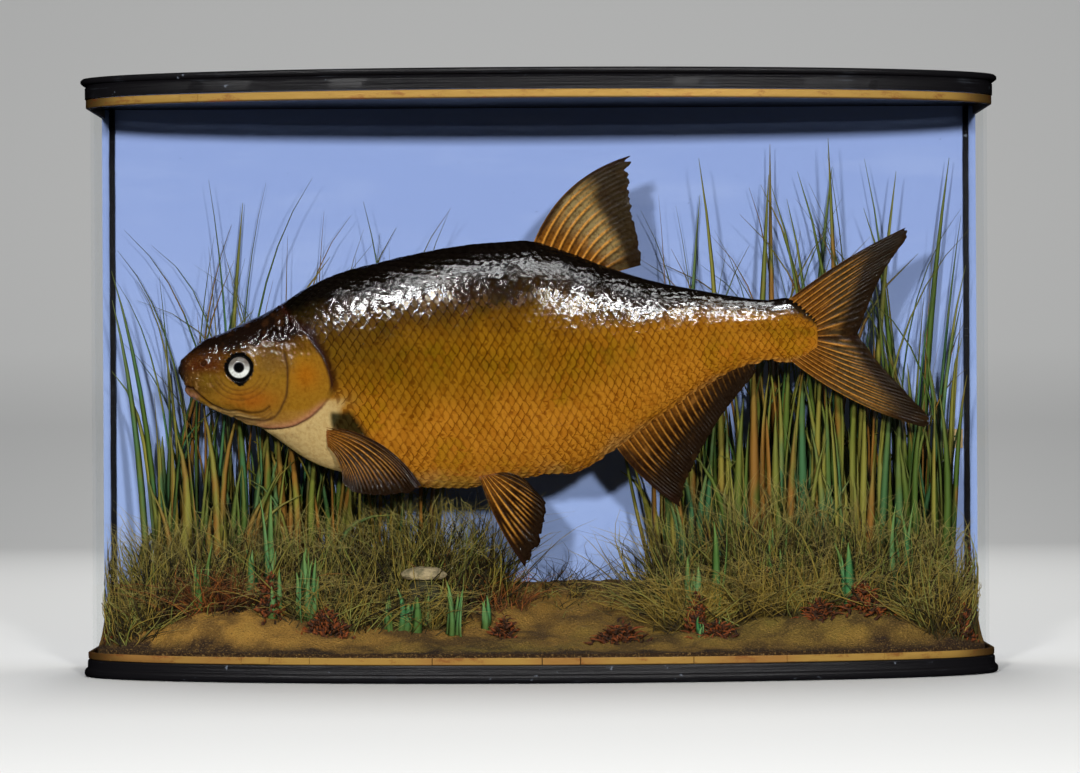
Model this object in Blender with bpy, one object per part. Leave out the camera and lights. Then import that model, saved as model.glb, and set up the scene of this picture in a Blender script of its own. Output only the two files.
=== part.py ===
"""A common bream, skinned and mounted as a trophy in a bow-fronted glass case.

The case stands on its base board with its origin under the middle of its footprint: +X runs along the case
to the fish's tail, +Y goes to the back board and +Z is up. The fish has its own frame, an empty at the tip
of its snout, whose X runs along the body to the tail, whose Z is the height above the snout and whose -Y
side is the fish's left side, the one that faces the glass. Tables are in millimetres; meshes are in metres.
"""

import math
import random
from collections import namedtuple

import bmesh
import bpy
import numpy as np
from mathutils import Vector

MM = 0.001
GAP = 0.3 * MM  # left between solids that touch
SEED = 7

# ---- the case ----
GLASS_HALF = 302 * MM  # outer face of the glass, to each side
BOW = 80 * MM  # how far the front swells in front of the corners
RETURN = 86 * MM  # the straight glass sides, from the corners to the back board
GLASS = 2.4 * MM
BOARD = 8 * MM
BOW_STEPS = 32
CENTRE_Y = 3.6 * MM  # puts the origin under the middle of the footprint

BASE_TOP = 11.3 * MM
BASE_SLIP_TOP = 16.5 * MM
TOP_SLIP_BOTTOM = 381.4 * MM
TOP_BOTTOM = 387.8 * MM
SLIP = 2.6 * MM  # thickness of the gilt slips
SLIP_GROW = 0.5 * MM  # where a slip's inner face stands, outside the glass
BEAD = 4 * MM

# Mouldings: height, and how far the edge stands outside the glass.
BASE_MOULDING = ((0, 4.6), (1.2, 5.8), (3.8, 5.8), (5.2, 4.8), (5.8, 3.6), (10.4, 3.6), (11.3, 2.9))
TOP_MOULDING = ((387.8, 3.7), (395.4, 3.7), (395.5, 2.4), (397.3, 2.4), (397.4, 5.6), (398.4, 6.6),
                (400.2, 6.6), (401.4, 5.2))

# ---- the ground inside ----
GROUND_FRONT = 18.5  # heights in mm
GROUND_BACK = 57
Mound = namedtuple("Mound", "x y height wide deep")
MOUNDS = (
    Mound(-205, -22, 17, 62, 24),
    Mound(212, -22, 15, 56, 24),
    Mound(-70, 30, 7, 70, 40),
    Mound(40, -10, -6, 45, 40),
)
GROUND_COLUMNS, GROUND_ROWS = 30, 8
ROCK_AT, ROCK_SIZE = (-79, -6, 42), (15, 11, 25)
ROCK_SPREAD = 0.35  # how much wider it is at its foot than at its middle
PEBBLE_SIZE = (15, 9.5, 5.4)

# ---- the fish ----
SNOUT = (-242.9, -15, 209.6)  # of the fish's frame, in the case's
TILT = math.radians(2.4)  # nose down
SIDES = 20
RINGS = 34
RING_CROWD = 1.35  # above 1 crowds the rings towards the snout
WIDEST = 0.52  # height of the widest line, as a share of the depth
BACK_POWER, BELLY_POWER = 1.2, 1.08  # above 1 narrows the back and the belly

Station = namedtuple("Station", "name along top bottom half")
STATIONS = (
    Station("snout", 0.9, -1.6, -7.5, 2.4),
    Station("upper_lip", 2.8, 2.8, -12.4, 5.0),
    Station("lower_lip", 4.9, 5.0, -19.0, 6.6),
    Station("nostrils", 9.2, 8.2, -23.4, 8.6),
    Station("brow", 18, 14.8, -29.6, 11.0),
    Station("eye_front", 30, 19.4, -35.8, 13.6),
    Station("eye_back", 48, 26.6, -43.2, 16.9),
    Station("cheek", 60, 31.4, -50.4, 18.6),
    Station("nape", 72, 37.6, -59.8, 20.1),
    Station("gill", 84, 44.6, -68.6, 21.3),
    Station("shoulder", 97, 51.0, -75.0, 22.6),
    Station("breast", 112, 56.4, -79.4, 23.8),
    Station("back_front", 135, 61.4, -85.0, 25.2),
    Station("flank", 160, 66.2, -89.6, 26.2),
    Station("pelvic", 190, 70.4, -91.6, 26.4),
    Station("middle", 218, 71.9, -88.0, 25.6),
    Station("dorsal_front", 241, 71.4, -85.4, 24.2),
    Station("dorsal_middle", 265, 63.0, -84.0, 21.8),
    Station("vent", 290, 52.2, -70.4, 18.4),
    Station("anal_front", 320, 41.4, -50.6, 14.2),
    Station("anal_middle", 350, 33.8, -32.8, 10.6),
    Station("anal_rear", 376, 28.0, -20.2, 8.3),
    Station("wrist", 397, 24.7, -16.2, 6.6),
    Station("tail_root", 413, 24.6, -17.2, 5.2),
    Station("tail_plate", 428, 12.0, -11.0, 3.0),
)

# Outlines on the fish's side, as (along, up).
GILL_LINE = ((66, 62), (71, 40), (77, 26), (87.5, 16.5), (95.2, -2.9), (100.6, -17.8), (98.2, -28.6),
             (86.5, -41.0), (66.0, -46.4), (54, -46.4), (49, -70))
GILL_PLATE = ((71.5, 15.5), (74.2, 2.0), (74.4, -13.5), (72.0, -25.5), (65.3, -36.0), (58, -43.8))
JAW = ((-6, -15.6), (9.6, -17.0), (20.5, -27.5), (20.5, -45), (-6, -45))
PLATE_DEPTH = 11 * MM  # a gill plate's inner face, from the middle of the fish
TAIL_CUT = 388

EYE_AT = (43.6, -4.5)
EYE_SIZE = (8.8, 5.4, 8.8)
EYE_PROUD = 2.0  # how far an eye stands out of the head

Fin = namedtuple("Fin", "name root tips bow thick edge rays steps")
FINS = (
    Fin("dorsal_fin", ((240.5, 66), (268, 57), (291, 46.5)),
        ((309.5, 125.1), (308.2, 110), (308.8, 91.6), (311.6, 74), (313.8, 51.5)),
        (11.5, 0), 2.6, 0.7, 10, 4),
    Fin("anal_fin", ((289.5, -67), (313, -51), (339, -34.5), (363, -21.5), (384.5, -14)),
        ((331.7, -111.6), (338, -92.5), (348.3, -73.4), (361.3, -53.9), (374, -38.2), (387.4, -23.4)),
        (-3, 0), 2.6, 0.7, 12, 3),
    Fin("tail_fin_upper", ((408, 21.5), (421, 10), (424, -0.8)),
        ((491.5, 68.3), (492.4, 62), (484.0, 51.0), (475.3, 39.0), (465.6, 20.3), (455.0, -1.0)),
        (3, 0), 3.4, 0.7, 10, 4),
    Fin("tail_fin_lower", ((424, -2.4), (421, -10), (408, -15.0)),
        ((455.0, -2.4), (469.5, -21.3), (479.5, -33.3), (491.4, -47.3), (500.6, -58.6), (499, -66.4)),
        (0, -5.5), 3.4, 0.7, 10, 4),
)

# A paired fin also says how far its root and its tips stand out from the middle of the fish.
PairedFin = namedtuple("PairedFin", Fin._fields + ("root_out", "tip_out"))
PAIRED_FINS = (
    PairedFin("pectoral_fin", ((99, -46.0), (98.5, -53), (99, -60)),
              ((160.5, -88.6), (152.7, -92.4), (132.2, -93.6), (116.9, -91.2), (108.4, -84)),
              (9, 3), 3.0, 0.7, 9, 4, 16.5, 29),
    PairedFin("pelvic_fin", ((198.5, -84.5), (205.5, -83.5), (212.5, -82.5)),
              ((226.5, -146.6), (236.0, -131.4), (240.2, -117.3), (242.0, -105.0), (234.0, -95.2)),
              (-3, 4), 2.8, 0.7, 8, 4, 9, 15),
)
POSTS = ((180, 4), (292, -2))  # dowels from the back board into the fish, as (along, up)
POST_RADIUS = 4 * MM

# ---- the reeds and the grass behind the fish ----
# Foot, tip and height of the tip, then the width at the foot, in mm.
REEDS = (
    (-268, -288, 262, 7), (-262, -297, 281, 6), (-247, -268, 284, 4), (-238, -232, 316, 4),
    (-222, -206, 322, 8), (-208, -187, 353, 4), (-196, -178, 300, 7), (-186, -152, 266, 5),
    (-136, -131, 320, 5), (-112, -98, 334, 5), (-98, -86, 325, 4),
    (84, 78, 300, 6), (104, 112, 326, 8), (124, 116, 352, 7), (146, 158, 338, 9),
    (166, 160, 360, 8), (186, 204, 345, 9), (206, 198, 362, 8), (226, 246, 340, 9),
    (246, 238, 356, 7), (262, 284, 350, 8),
)
REED_LANES = (34, 80)  # nearest and furthest
REED_THICK = 1.2
REED_STEPS = 5
Tussock = namedtuple("Tussock", "x y radius height")
TUSSOCKS = (
    Tussock(-252, 14, 24, 66), Tussock(-182, 14, 24, 74), Tussock(-112, 14, 23, 58),
    Tussock(96, 20, 19, 76), Tussock(160, 18, 22, 96), Tussock(232, 14, 24, 74),
)

LABEL_AT, LABEL_SIZE = (287.4 * MM, 155.5 * MM), (14.4 * MM, 13.2 * MM)

COLOURS = {  # base colour, roughness
    "ebonised_wood": ((0.012, 0.011, 0.011), 0.25),
    "gilt": ((0.62, 0.41, 0.17), 0.45),
    "glass": ((0.9, 0.93, 0.94), 0.05),
    "blue_paint": ((0.35, 0.44, 0.72), 0.7),
    "groundwork": ((0.22, 0.15, 0.07), 0.9),
    "reed": ((0.16, 0.19, 0.05), 0.6),
    "grass": ((0.12, 0.11, 0.04), 0.8),
    "rock": ((0.07, 0.07, 0.04), 0.9),
    "pebble": ((0.62, 0.6, 0.55), 0.8),
    "paper": ((0.62, 0.53, 0.36), 0.85),
    "wire": ((0.2, 0.13, 0.08), 0.6),
    "flank": ((0.42, 0.2, 0.03), 0.25),
    "gill": ((0.5, 0.24, 0.04), 0.2),
    "fin": ((0.1, 0.05, 0.02), 0.25),
    "eye": ((0.75, 0.75, 0.72), 0.05),
}


# ---- helpers ----
def clear_scene():
    for old in list(bpy.data.objects):
        bpy.data.objects.remove(old)


def make_collection(name):
    made = bpy.data.collections.new(name)
    bpy.context.scene.collection.children.link(made)
    return made


def material(name):
    if name in bpy.data.materials:
        return bpy.data.materials[name]
    colour, roughness = COLOURS[name]
    made = bpy.data.materials.new(name)
    made.use_nodes = True
    shader = made.node_tree.nodes["Principled BSDF"]
    shader.inputs["Base Color"].default_value = (*colour, 1)
    shader.inputs["Roughness"].default_value = roughness
    shader.inputs["Metallic"].default_value = 1.0 if name == "gilt" else 0.0
    return made


def add(name, bm, look, group, parent=None):
    """Makes the object, with its faces turned outwards."""
    bm.normal_update()
    bmesh.ops.recalc_face_normals(bm, faces=bm.faces)
    mesh = bpy.data.meshes.new(name)
    bm.to_mesh(mesh)
    bm.free()
    mesh.materials.append(material(look))
    mesh.shade_smooth()
    mesh.set_sharp_from_angle(angle=math.radians(40))
    made = bpy.data.objects.new(name, mesh)
    made.parent = parent
    group.objects.link(made)
    return made


def add_cutter(name, bm, group, parent=None):
    made = add(name, bm, "wire", group, parent)
    made.hide_render = True
    made.display_type = "WIRE"
    return made


def cut(piece, cutter, operation="DIFFERENCE"):
    modifier = piece.modifiers.new(cutter.name, "BOOLEAN")
    modifier.object = cutter
    modifier.operation = operation


def loft(rings):
    """A closed solid through rings of points that all have the same count."""
    bm = bmesh.new()
    rows = [[bm.verts.new(point) for point in ring] for ring in rings]
    count = len(rows[0])
    for row, after in zip(rows, rows[1:]):
        for i in range(count):
            j = (i + 1) % count
            bm.faces.new((row[i], row[j], after[j], after[i]))
    bm.faces.new(rows[0][::-1])
    bm.faces.new(rows[-1])
    return bm


def smooth_path(points, count):
    """count points, evenly spread by number, on a smooth curve through the given ones."""
    known = np.array(points, float)
    slopes = np.gradient(known, axis=0)
    path = []
    for place in np.linspace(0, len(known) - 1, count):
        i = min(int(place), len(known) - 2)
        t = place - i
        a, b, da, db = known[i], known[i + 1], slopes[i], slopes[i + 1]
        path.append((2 * t**3 - 3 * t**2 + 1) * a + (t**3 - 2 * t**2 + t) * da
                    + (3 * t**2 - 2 * t**3) * b + (t**3 - t**2) * db)
    return path


def prism(outline, low, high):
    """An outline on the fish's side, carried from one distance off its middle to another."""
    return loft([[(x * MM, y, z * MM) for x, z in outline] for y in (low, high)])


def box(low, high):
    bm = bmesh.new()
    bmesh.ops.create_cube(bm, size=1)
    middle, size = (Vector(low) + Vector(high)) / 2, Vector(high) - Vector(low)
    for vert in bm.verts:
        vert.co = middle + Vector(a * b for a, b in zip(vert.co, size))
    return bm


# ---- the case ----
def bow_path(grow):
    """From the left back corner round the front to the right back corner, this far outside the glass."""
    ends = RETURN - GAP
    path = [(-(GLASS_HALF + grow), ends - CENTRE_Y)]
    for step in range(BOW_STEPS + 1):
        angle = math.pi * step / BOW_STEPS
        x, y = -(GLASS_HALF + grow) * math.cos(angle), -(BOW + grow) * math.sin(angle)
        path.append((x, y - CENTRE_Y))
    return path + [(GLASS_HALF + grow, ends - CENTRE_Y)]


def board_outline(grow):
    """The bow with the back board's thickness behind it."""
    path = bow_path(grow)
    back = RETURN + BOARD - CENTRE_Y
    return [(path[0][0], back)] + path[1:-1] + [(path[-1][0], back)]


def moulding(name, profile, group):
    """A board with a moulded edge: one outline for each step of its profile."""
    rings = [[(x, y, z * MM) for x, y in board_outline(grow * MM)] for z, grow in profile]
    return add(name, loft(rings), "ebonised_wood", group)


def strip(name, inner, outer, low, high, look, group):
    """A band that follows the bow between two distances from the glass's outer face."""
    rings = [
        [(*near, low), (*far, low), (*far, high), (*near, high)]
        for near, far in zip(bow_path(inner), bow_path(outer))
    ]
    return add(name, loft(rings), look, group)


def back_front():
    return RETURN - CENTRE_Y


def build_case(group):
    moulding("base_board", BASE_MOULDING, group)
    moulding("top_board", TOP_MOULDING, group)
    glass_low, glass_high = BASE_TOP + GAP, TOP_BOTTOM - GAP
    strip("glass_front", -GLASS, 0, glass_low, glass_high, "glass", group)
    near, far = SLIP_GROW, SLIP_GROW + SLIP
    strip("gilt_slip_base", near, far, glass_low, BASE_SLIP_TOP, "gilt", group)
    strip("gilt_slip_top", near, far, TOP_SLIP_BOTTOM, glass_high, "gilt", group)
    front = back_front()
    wide = GLASS_HALF + SLIP
    panel = box((-wide, front, glass_low), (wide, front + BOARD, glass_high))
    add("back_board", panel, "blue_paint", group)
    inner = GLASS_HALF - GLASS - GAP
    for side, name in ((-1, "corner_bead_left"), (1, "corner_bead_right")):
        low = (side * inner, front - GAP - BEAD, (GROUND_BACK + 1) * MM)
        high = (side * (inner - BEAD), front - GAP, glass_high)
        add(name, box(np.minimum(low, high), np.maximum(low, high)), "ebonised_wood", group)
    x, z = LABEL_AT
    label = box((x - LABEL_SIZE[0] / 2, front - GAP - 0.5 * MM, z - LABEL_SIZE[1] / 2),
                (x + LABEL_SIZE[0] / 2, front - GAP, z + LABEL_SIZE[1] / 2))
    add("paper_label", label, "paper", group)


# ---- the ground ----
def ground_edge(x):
    """The front edge of the ground, just inside the glass."""
    inner = GLASS_HALF - GLASS - 2 * GAP
    return -(BOW - GLASS - 2 * GAP) * math.sqrt(max(0.0, 1 - (x / inner) ** 2)) - CENTRE_Y


def ground_height(x, y):
    """Height of the ground in metres: a slope up to the back board, with mounds on it."""
    front, back = ground_edge(x), back_front() - GAP
    t = min(max((y - front) / (back - front), 0), 1)
    height = GROUND_FRONT + (GROUND_BACK - GROUND_FRONT) * t * t * (3 - 2 * t)
    rise = min(1.0, 8 * t)  # no mound stands against the glass
    for mound in MOUNDS:
        across, deep = (x / MM - mound.x) / mound.wide, (y / MM - mound.y) / mound.deep
        height += rise * mound.height * math.exp(-(across**2) - deep**2) * (1 - t)
    return height * MM


def ground_mesh(raised):
    """The ground's solid. Raised, it is the cutter that keeps what grows on it clear."""
    inner = GLASS_HALF - GLASS - 2 * GAP
    bm = bmesh.new()
    grid = []
    for column in range(GROUND_COLUMNS + 1):
        x = -inner * math.cos(math.pi * column / GROUND_COLUMNS)
        front, back = ground_edge(x), back_front() - GAP
        line = [front + (back - front) * row / GROUND_ROWS for row in range(GROUND_ROWS + 1)]
        grid.append([bm.verts.new((x, y, ground_height(x, y) + raised)) for y in line])
    for left, right in zip(grid, grid[1:]):
        for row in range(GROUND_ROWS):
            bm.faces.new((left[row], right[row], right[row + 1], left[row + 1]))
    rim = [column[0] for column in grid] + grid[-1][1:]
    rim += [column[-1] for column in grid[-2::-1]] + grid[0][-2:0:-1]
    low = [bm.verts.new((vert.co.x, vert.co.y, BASE_TOP + GAP)) for vert in rim]
    for i, vert in enumerate(rim):
        j = (i + 1) % len(rim)
        bm.faces.new((low[i], low[j], rim[j], vert))
    bm.faces.new(low[::-1])
    return bm


def lump(size, places, look, name, group, squash, spread=0.0):
    """A rounded stone, with its faces pushed in and out a little, flat below and wider at its foot."""
    draw = random.Random(SEED)
    bm = bmesh.new()
    bmesh.ops.create_icosphere(bm, subdivisions=2, radius=1)
    for vert in bm.verts:
        vert.co *= 1 + draw.uniform(-0.07, 0.07)
        vert.co.z = max(vert.co.z, -1 + squash)
        widened = 1 - spread * min(vert.co.z, 0.5)
        vert.co.x *= widened
        vert.co.y *= widened
        vert.co = Vector((v * s + p) * MM for v, s, p in zip(vert.co, size, places))
    return add(name, bm, look, group)


def build_ground(group, cutters):
    add("groundwork", ground_mesh(0), "groundwork", group)
    clearance = add_cutter("ground_clearance", ground_mesh(GAP), cutters)
    rock = lump(ROCK_SIZE, ROCK_AT, "rock", "rock", group, 0.3, ROCK_SPREAD)
    cut(rock, clearance)
    x, y, z = ROCK_AT
    top = z + ROCK_SIZE[2] * 0.86
    slab = box(((x - 40) * MM, (y - 40) * MM, top * MM), ((x + 40) * MM, (y + 40) * MM, (top + 60) * MM))
    cut(rock, add_cutter("rock_top", slab, cutters))
    pebble = (x, y, top + GAP / MM + PEBBLE_SIZE[2] * 0.6)
    lump(PEBBLE_SIZE, pebble, "pebble", "pebble", group, 0.4)
    for number, tussock in enumerate(TUSSOCKS, 1):
        cut(build_tussock(f"tussock_{number}", tussock, group), clearance)


def build_tussock(name, tussock, group):
    """A clump of grass: a low dome with every second face drawn out into a blade."""
    draw = random.Random(name)
    bm = bmesh.new()
    bmesh.ops.create_icosphere(bm, subdivisions=2, radius=tussock.radius * 0.8)
    for vert in bm.verts:
        vert.co.z *= 0.4
    tops = [face for face in bm.faces if face.normal.z > 0.35]
    blades = tops[::2] if len(tops) > 24 else tops
    for face in bmesh.ops.extrude_discrete_faces(bm, faces=blades)["faces"]:
        middle = face.calc_center_median()
        reach = tussock.height * draw.uniform(0.75, 1.0) - middle.z
        tip = middle + Vector((middle.x * 0.6, middle.y * 0.1, reach))
        for vert in face.verts:
            vert.co = tip + (vert.co - middle) * 0.08
    foot = ground_height(tussock.x * MM, tussock.y * MM)
    for vert in bm.verts:
        vert.co = vert.co * MM + Vector((tussock.x * MM, tussock.y * MM, foot))
    return add(name, bm, "grass", group)


def build_reeds(group):
    """Single blades, each in a lane of its own, so that none cuts another."""
    near, far = REED_LANES
    for number, (foot, tip, height, width) in enumerate(REEDS):
        lane = (near + (far - near) * ((number * 5) % len(REEDS)) / (len(REEDS) - 1)) * MM - CENTRE_Y
        half = width / 2 * MM
        edges = [(foot * MM + dx, lane + dy * REED_THICK * MM) for dx in (-half, half) for dy in (0, 1)]
        root = max(ground_height(x, y) for x, y in edges) + 2 * GAP
        rings = []
        for step in range(REED_STEPS + 1):
            t = step / REED_STEPS
            x = (foot + (tip - foot) * t**1.6) * MM
            z = root + (height * MM - root) * t
            wide = half * (1 - 0.88 * t**2.2)
            thick = REED_THICK * MM * (1 - 0.5 * t)
            rings.append([(x - wide, lane, z), (x + wide, lane, z),
                          (x + wide, lane + thick, z), (x - wide, lane + thick, z)])
        add(f"reed_{number + 1:02d}", loft(rings), "reed", group)


# ---- the fish ----
def body_size(along):
    """Top, bottom and half width of the body in millimetres, smoothed through the stations."""
    places = [station.along for station in STATIONS]
    values = np.array([station[2:] for station in STATIONS], float)
    slopes = np.gradient(values, places, axis=0)
    i = min(max(int(np.searchsorted(places, along)) - 1, 0), len(places) - 2)
    span = places[i + 1] - places[i]
    t = (along - places[i]) / span
    return ((2 * t**3 - 3 * t**2 + 1) * values[i] + (t**3 - 2 * t**2 + t) * span * slopes[i]
            + (3 * t**2 - 2 * t**3) * values[i + 1] + (t**3 - t**2) * span * slopes[i + 1])


def body_ring(along, grow=0.0):
    """One section of the body, in metres in the fish's frame: a soft lens, wide above its middle."""
    top, bottom, half = body_size(along)
    middle = bottom + WIDEST * (top - bottom)
    ring = []
    for side in range(SIDES):
        angle = 2 * math.pi * side / SIDES
        across, up = math.cos(angle), math.sin(angle)
        power = BACK_POWER if up > 0 else BELLY_POWER
        out = math.copysign((half + grow) * abs(across) ** power, across)
        reach = (top - middle if up > 0 else middle - bottom) + grow
        ring.append((along * MM, out * MM, (middle + reach * up) * MM))
    return ring


def body_loft(grow=0.0):
    first, last = STATIONS[0].along, STATIONS[-1].along
    places = [first + (last - first) * (ring / (RINGS - 1)) ** RING_CROWD for ring in range(RINGS)]
    rings = [body_ring(place, grow) for place in places]
    if grow:  # the ends grow too
        for end, way in ((0, -1), (-1, 1)):
            rings[end] = [(x + way * grow * MM, y, z) for x, y, z in rings[end]]
    return loft(rings)


def body_side(along, up):
    """How far the skin stands from the middle of the fish there, in millimetres."""
    top, bottom, half = body_size(along)
    middle = bottom + WIDEST * (top - bottom)
    share = (up - middle) / ((top - middle) if up > middle else (middle - bottom))
    power = BACK_POWER if up > middle else BELLY_POWER
    return half * math.cos(math.asin(max(-1, min(1, share)))) ** power


def grown(outline, by):
    """An outline on the fish's side, moved outwards. It runs anticlockwise."""
    points = np.array(outline, float)
    ways = np.roll(points, -1, axis=0) - np.roll(points, 1, axis=0)
    out = np.stack([ways[:, 1], -ways[:, 0]], 1)
    return points + by * out / np.linalg.norm(out, axis=1)[:, None]


def turned(outline):
    """The outline, anticlockwise."""
    points = [tuple(point) for point in outline]
    after = points[1:] + points[:1]
    area = sum(a[0] * b[1] - b[0] * a[1] for a, b in zip(points, after))
    return points if area > 0 else points[::-1]


def parting(name, outline, cutters, fish, low=-60 * MM, high=60 * MM):
    """Two cutters for one cut: the outline, and the outline moved out by the gap."""
    outline = turned(outline)
    tight = add_cutter(name, prism(outline, low, high), cutters, fish)
    out = grown(outline, GAP / MM)
    loose = add_cutter(name + "_clear", prism(out, low - GAP, high + GAP), cutters, fish)
    return tight, loose


def fin_mesh(fin, out=None):
    """A fin's solid: rays from its root to its edge, thick at the root and thin at the edge.

    out gives how far the root and the tips stand from the middle of the fish, negative to its left.
    """
    roots, tips = smooth_path(fin.root, fin.rays), smooth_path(fin.tips, fin.rays)
    faces = {-1: [], 1: []}
    for ray, (root, tip) in enumerate(zip(roots, tips)):
        t = ray / (fin.rays - 1)
        way = tip - root
        across = np.array([-way[1], way[0]]) / max(np.linalg.norm(way), 1e-9)
        bow = fin.bow[0] + (fin.bow[1] - fin.bow[0]) * t
        for side in faces:
            line = []
            for step in range(fin.steps + 1):
                s = step / fin.steps
                x, z = root + way * s + across * bow * 4 * s * (1 - s)
                thick = fin.thick + (fin.edge - fin.thick) * s**0.6
                middle = 0 if out is None else out[0] + (out[1] - out[0]) * s
                line.append((x * MM, (middle + side * thick / 2) * MM, z * MM))
            faces[side].append(line)
    bm = bmesh.new()
    rows = {side: [[bm.verts.new(point) for point in line] for line in faces[side]] for side in faces}
    for side in rows:
        for line, after in zip(rows[side], rows[side][1:]):
            for i in range(fin.steps):
                bm.faces.new((line[i], line[i + 1], after[i + 1], after[i]))
    left, right = rows[-1], rows[1]
    for i in range(fin.steps):
        for end in (0, -1):
            bm.faces.new((left[end][i], left[end][i + 1], right[end][i + 1], right[end][i]))
    for ray in range(fin.rays - 1):
        for i in (0, -1):
            bm.faces.new((left[ray][i], left[ray + 1][i], right[ray + 1][i], right[ray][i]))
    return bm


def eye_mesh(side, grow=0.0):
    x, z = EYE_AT
    out = body_side(x, z) + EYE_PROUD - EYE_SIZE[1]
    bm = bmesh.new()
    bmesh.ops.create_uvsphere(bm, u_segments=14, v_segments=7, radius=1)
    for vert in bm.verts:
        a, b, c = vert.co.x, vert.co.y, vert.co.z
        deep = EYE_SIZE[1] + grow
        vert.co = Vector(((x + a * (EYE_SIZE[0] + grow)) * MM, (side * out + c * deep) * MM,
                          (z + b * (EYE_SIZE[2] + grow)) * MM))
    return bm


def build_fish(group, cutters):
    fish = bpy.data.objects.new("fish", None)
    fish.location = (SNOUT[0] * MM, SNOUT[1] * MM - CENTRE_Y, SNOUT[2] * MM)
    fish.rotation_euler = (0, -TILT, 0)
    group.objects.link(fish)

    gill_line = [tuple(point) for point in smooth_path(GILL_LINE, 21)]
    head_side = gill_line + [(-20, -70), (-20, 62)]
    tail_side = [(TAIL_CUT, -60), (440, -60), (440, 60), (TAIL_CUT, 60)]
    in_head, clear_of_head = parting("head_cut", head_side, cutters, fish)
    in_tail, clear_of_tail = parting("tail_cut", tail_side, cutters, fish)
    in_jaw, clear_of_jaw = parting("jaw_cut", JAW, cutters, fish)
    rear = [point for point in gill_line if -44 < point[1] < 16.5]
    plate_side = [tuple(p) for p in smooth_path(GILL_PLATE, 9)][::-1] + [(79, 19.5)]
    plate_side += [(x + 6, z) for x, z in rear] + [(64, -52)]

    head = add("head", body_loft(), "flank", group, fish)
    cut(head, in_head, "INTERSECT")
    cut(head, clear_of_jaw)
    jaw = add("lower_jaw", body_loft(), "gill", group, fish)
    cut(jaw, in_jaw, "INTERSECT")
    for side, name in ((-1, "left"), (1, "right")):
        low, high = sorted((side * PLATE_DEPTH, side * 40 * MM))
        inside, clear = parting(f"gill_cut_{name}", plate_side, cutters, fish, low, high)
        plate = add(f"gill_cover_{name}", body_loft(), "gill", group, fish)
        cut(plate, in_head, "INTERSECT")
        cut(plate, inside, "INTERSECT")
        cut(head, clear)
        add(f"eye_{name}", eye_mesh(side), "eye", group, fish)
        cut(head, add_cutter(f"socket_{name}", eye_mesh(side, 0.4), cutters, fish))

    trunk = add("trunk", body_loft(), "flank", group, fish)
    cut(trunk, clear_of_head)
    cut(trunk, clear_of_tail)
    stalk = add("tail_stalk", body_loft(), "flank", group, fish)
    cut(stalk, in_tail, "INTERSECT")

    skin = add_cutter("skin_clear", body_loft(GAP / MM), cutters, fish)
    for fin in FINS:
        cut(add(fin.name, fin_mesh(fin), "fin", group, fish), skin)
    for fin in PAIRED_FINS:
        for side, name in ((-1, "left"), (1, "right")):
            made = fin_mesh(fin, (side * fin.root_out, side * fin.tip_out))
            cut(add(f"{fin.name}_{name}", made, "fin", group, fish), skin)
    return fish, skin


def build_posts(group, fish, skin):
    """Two dowels that hold the fish off the back board."""
    bpy.context.view_layer.update()
    for number, (along, up) in enumerate(POSTS, 1):
        start = fish.matrix_world @ Vector((along * MM, 0, up * MM))
        length = back_front() - GAP - start.y
        bm = bmesh.new()
        bmesh.ops.create_cone(bm, cap_ends=True, segments=12, radius1=POST_RADIUS, radius2=POST_RADIUS,
                              depth=length)
        for vert in bm.verts:
            x, y, z = vert.co
            vert.co = Vector((start.x + x, start.y + length / 2 + z, start.z + y))
        cut(add(f"post_{number}", bm, "wire", group), skin)


def main():
    clear_scene()
    bpy.context.scene.unit_settings.system = "METRIC"
    model = make_collection("cased_bream")
    cutters = make_collection("cutters")
    build_case(model)
    build_ground(model, cutters)
    build_reeds(model)
    fish, skin = build_fish(model, cutters)
    build_posts(model, fish, skin)


main()
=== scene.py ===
"""The dressed model of a common bream, skinned and mounted as a trophy in a bow-fronted glass case.

The case's origin is under the middle of its footprint: +X runs along the case to the fish's tail, +Y to the
back board and +Z up. The fish has its own frame: along runs from its snout to its tail, up is the height above
the snout, out is how far a place stands from its middle, and side is -1 on its left, which faces the glass.
Tables are in millimetres and screen colours, 0 to 255; meshes are in metres.
"""

import math
import random
from collections import namedtuple

import bmesh
import bpy
import numpy as np
from bpy.props import FloatProperty, FloatVectorProperty, PointerProperty
from mathutils import Matrix, Vector


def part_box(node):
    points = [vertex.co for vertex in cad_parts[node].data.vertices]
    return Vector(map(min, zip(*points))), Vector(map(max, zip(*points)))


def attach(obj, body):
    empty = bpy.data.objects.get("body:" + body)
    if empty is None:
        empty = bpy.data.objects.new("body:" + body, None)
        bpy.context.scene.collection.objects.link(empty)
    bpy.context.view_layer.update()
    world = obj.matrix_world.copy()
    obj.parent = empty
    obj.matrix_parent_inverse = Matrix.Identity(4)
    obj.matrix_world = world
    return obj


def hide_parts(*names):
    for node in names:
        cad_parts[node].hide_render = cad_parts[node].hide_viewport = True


bl_info = {"name": "Cased bream", "version": (1, 1, 0), "blender": (4, 5, 0), "category": "Add Mesh",
           "location": "View3D > Sidebar > Bream", "description": "A mounted bream in a glass case"}

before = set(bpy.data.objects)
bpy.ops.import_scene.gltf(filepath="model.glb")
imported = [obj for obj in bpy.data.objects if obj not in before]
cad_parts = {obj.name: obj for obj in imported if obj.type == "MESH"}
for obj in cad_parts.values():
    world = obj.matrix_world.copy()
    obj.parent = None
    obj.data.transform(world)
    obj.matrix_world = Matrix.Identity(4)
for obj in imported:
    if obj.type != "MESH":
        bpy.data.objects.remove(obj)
MM = 0.001
GAP = 0.3 * MM
SEED = 7

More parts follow.
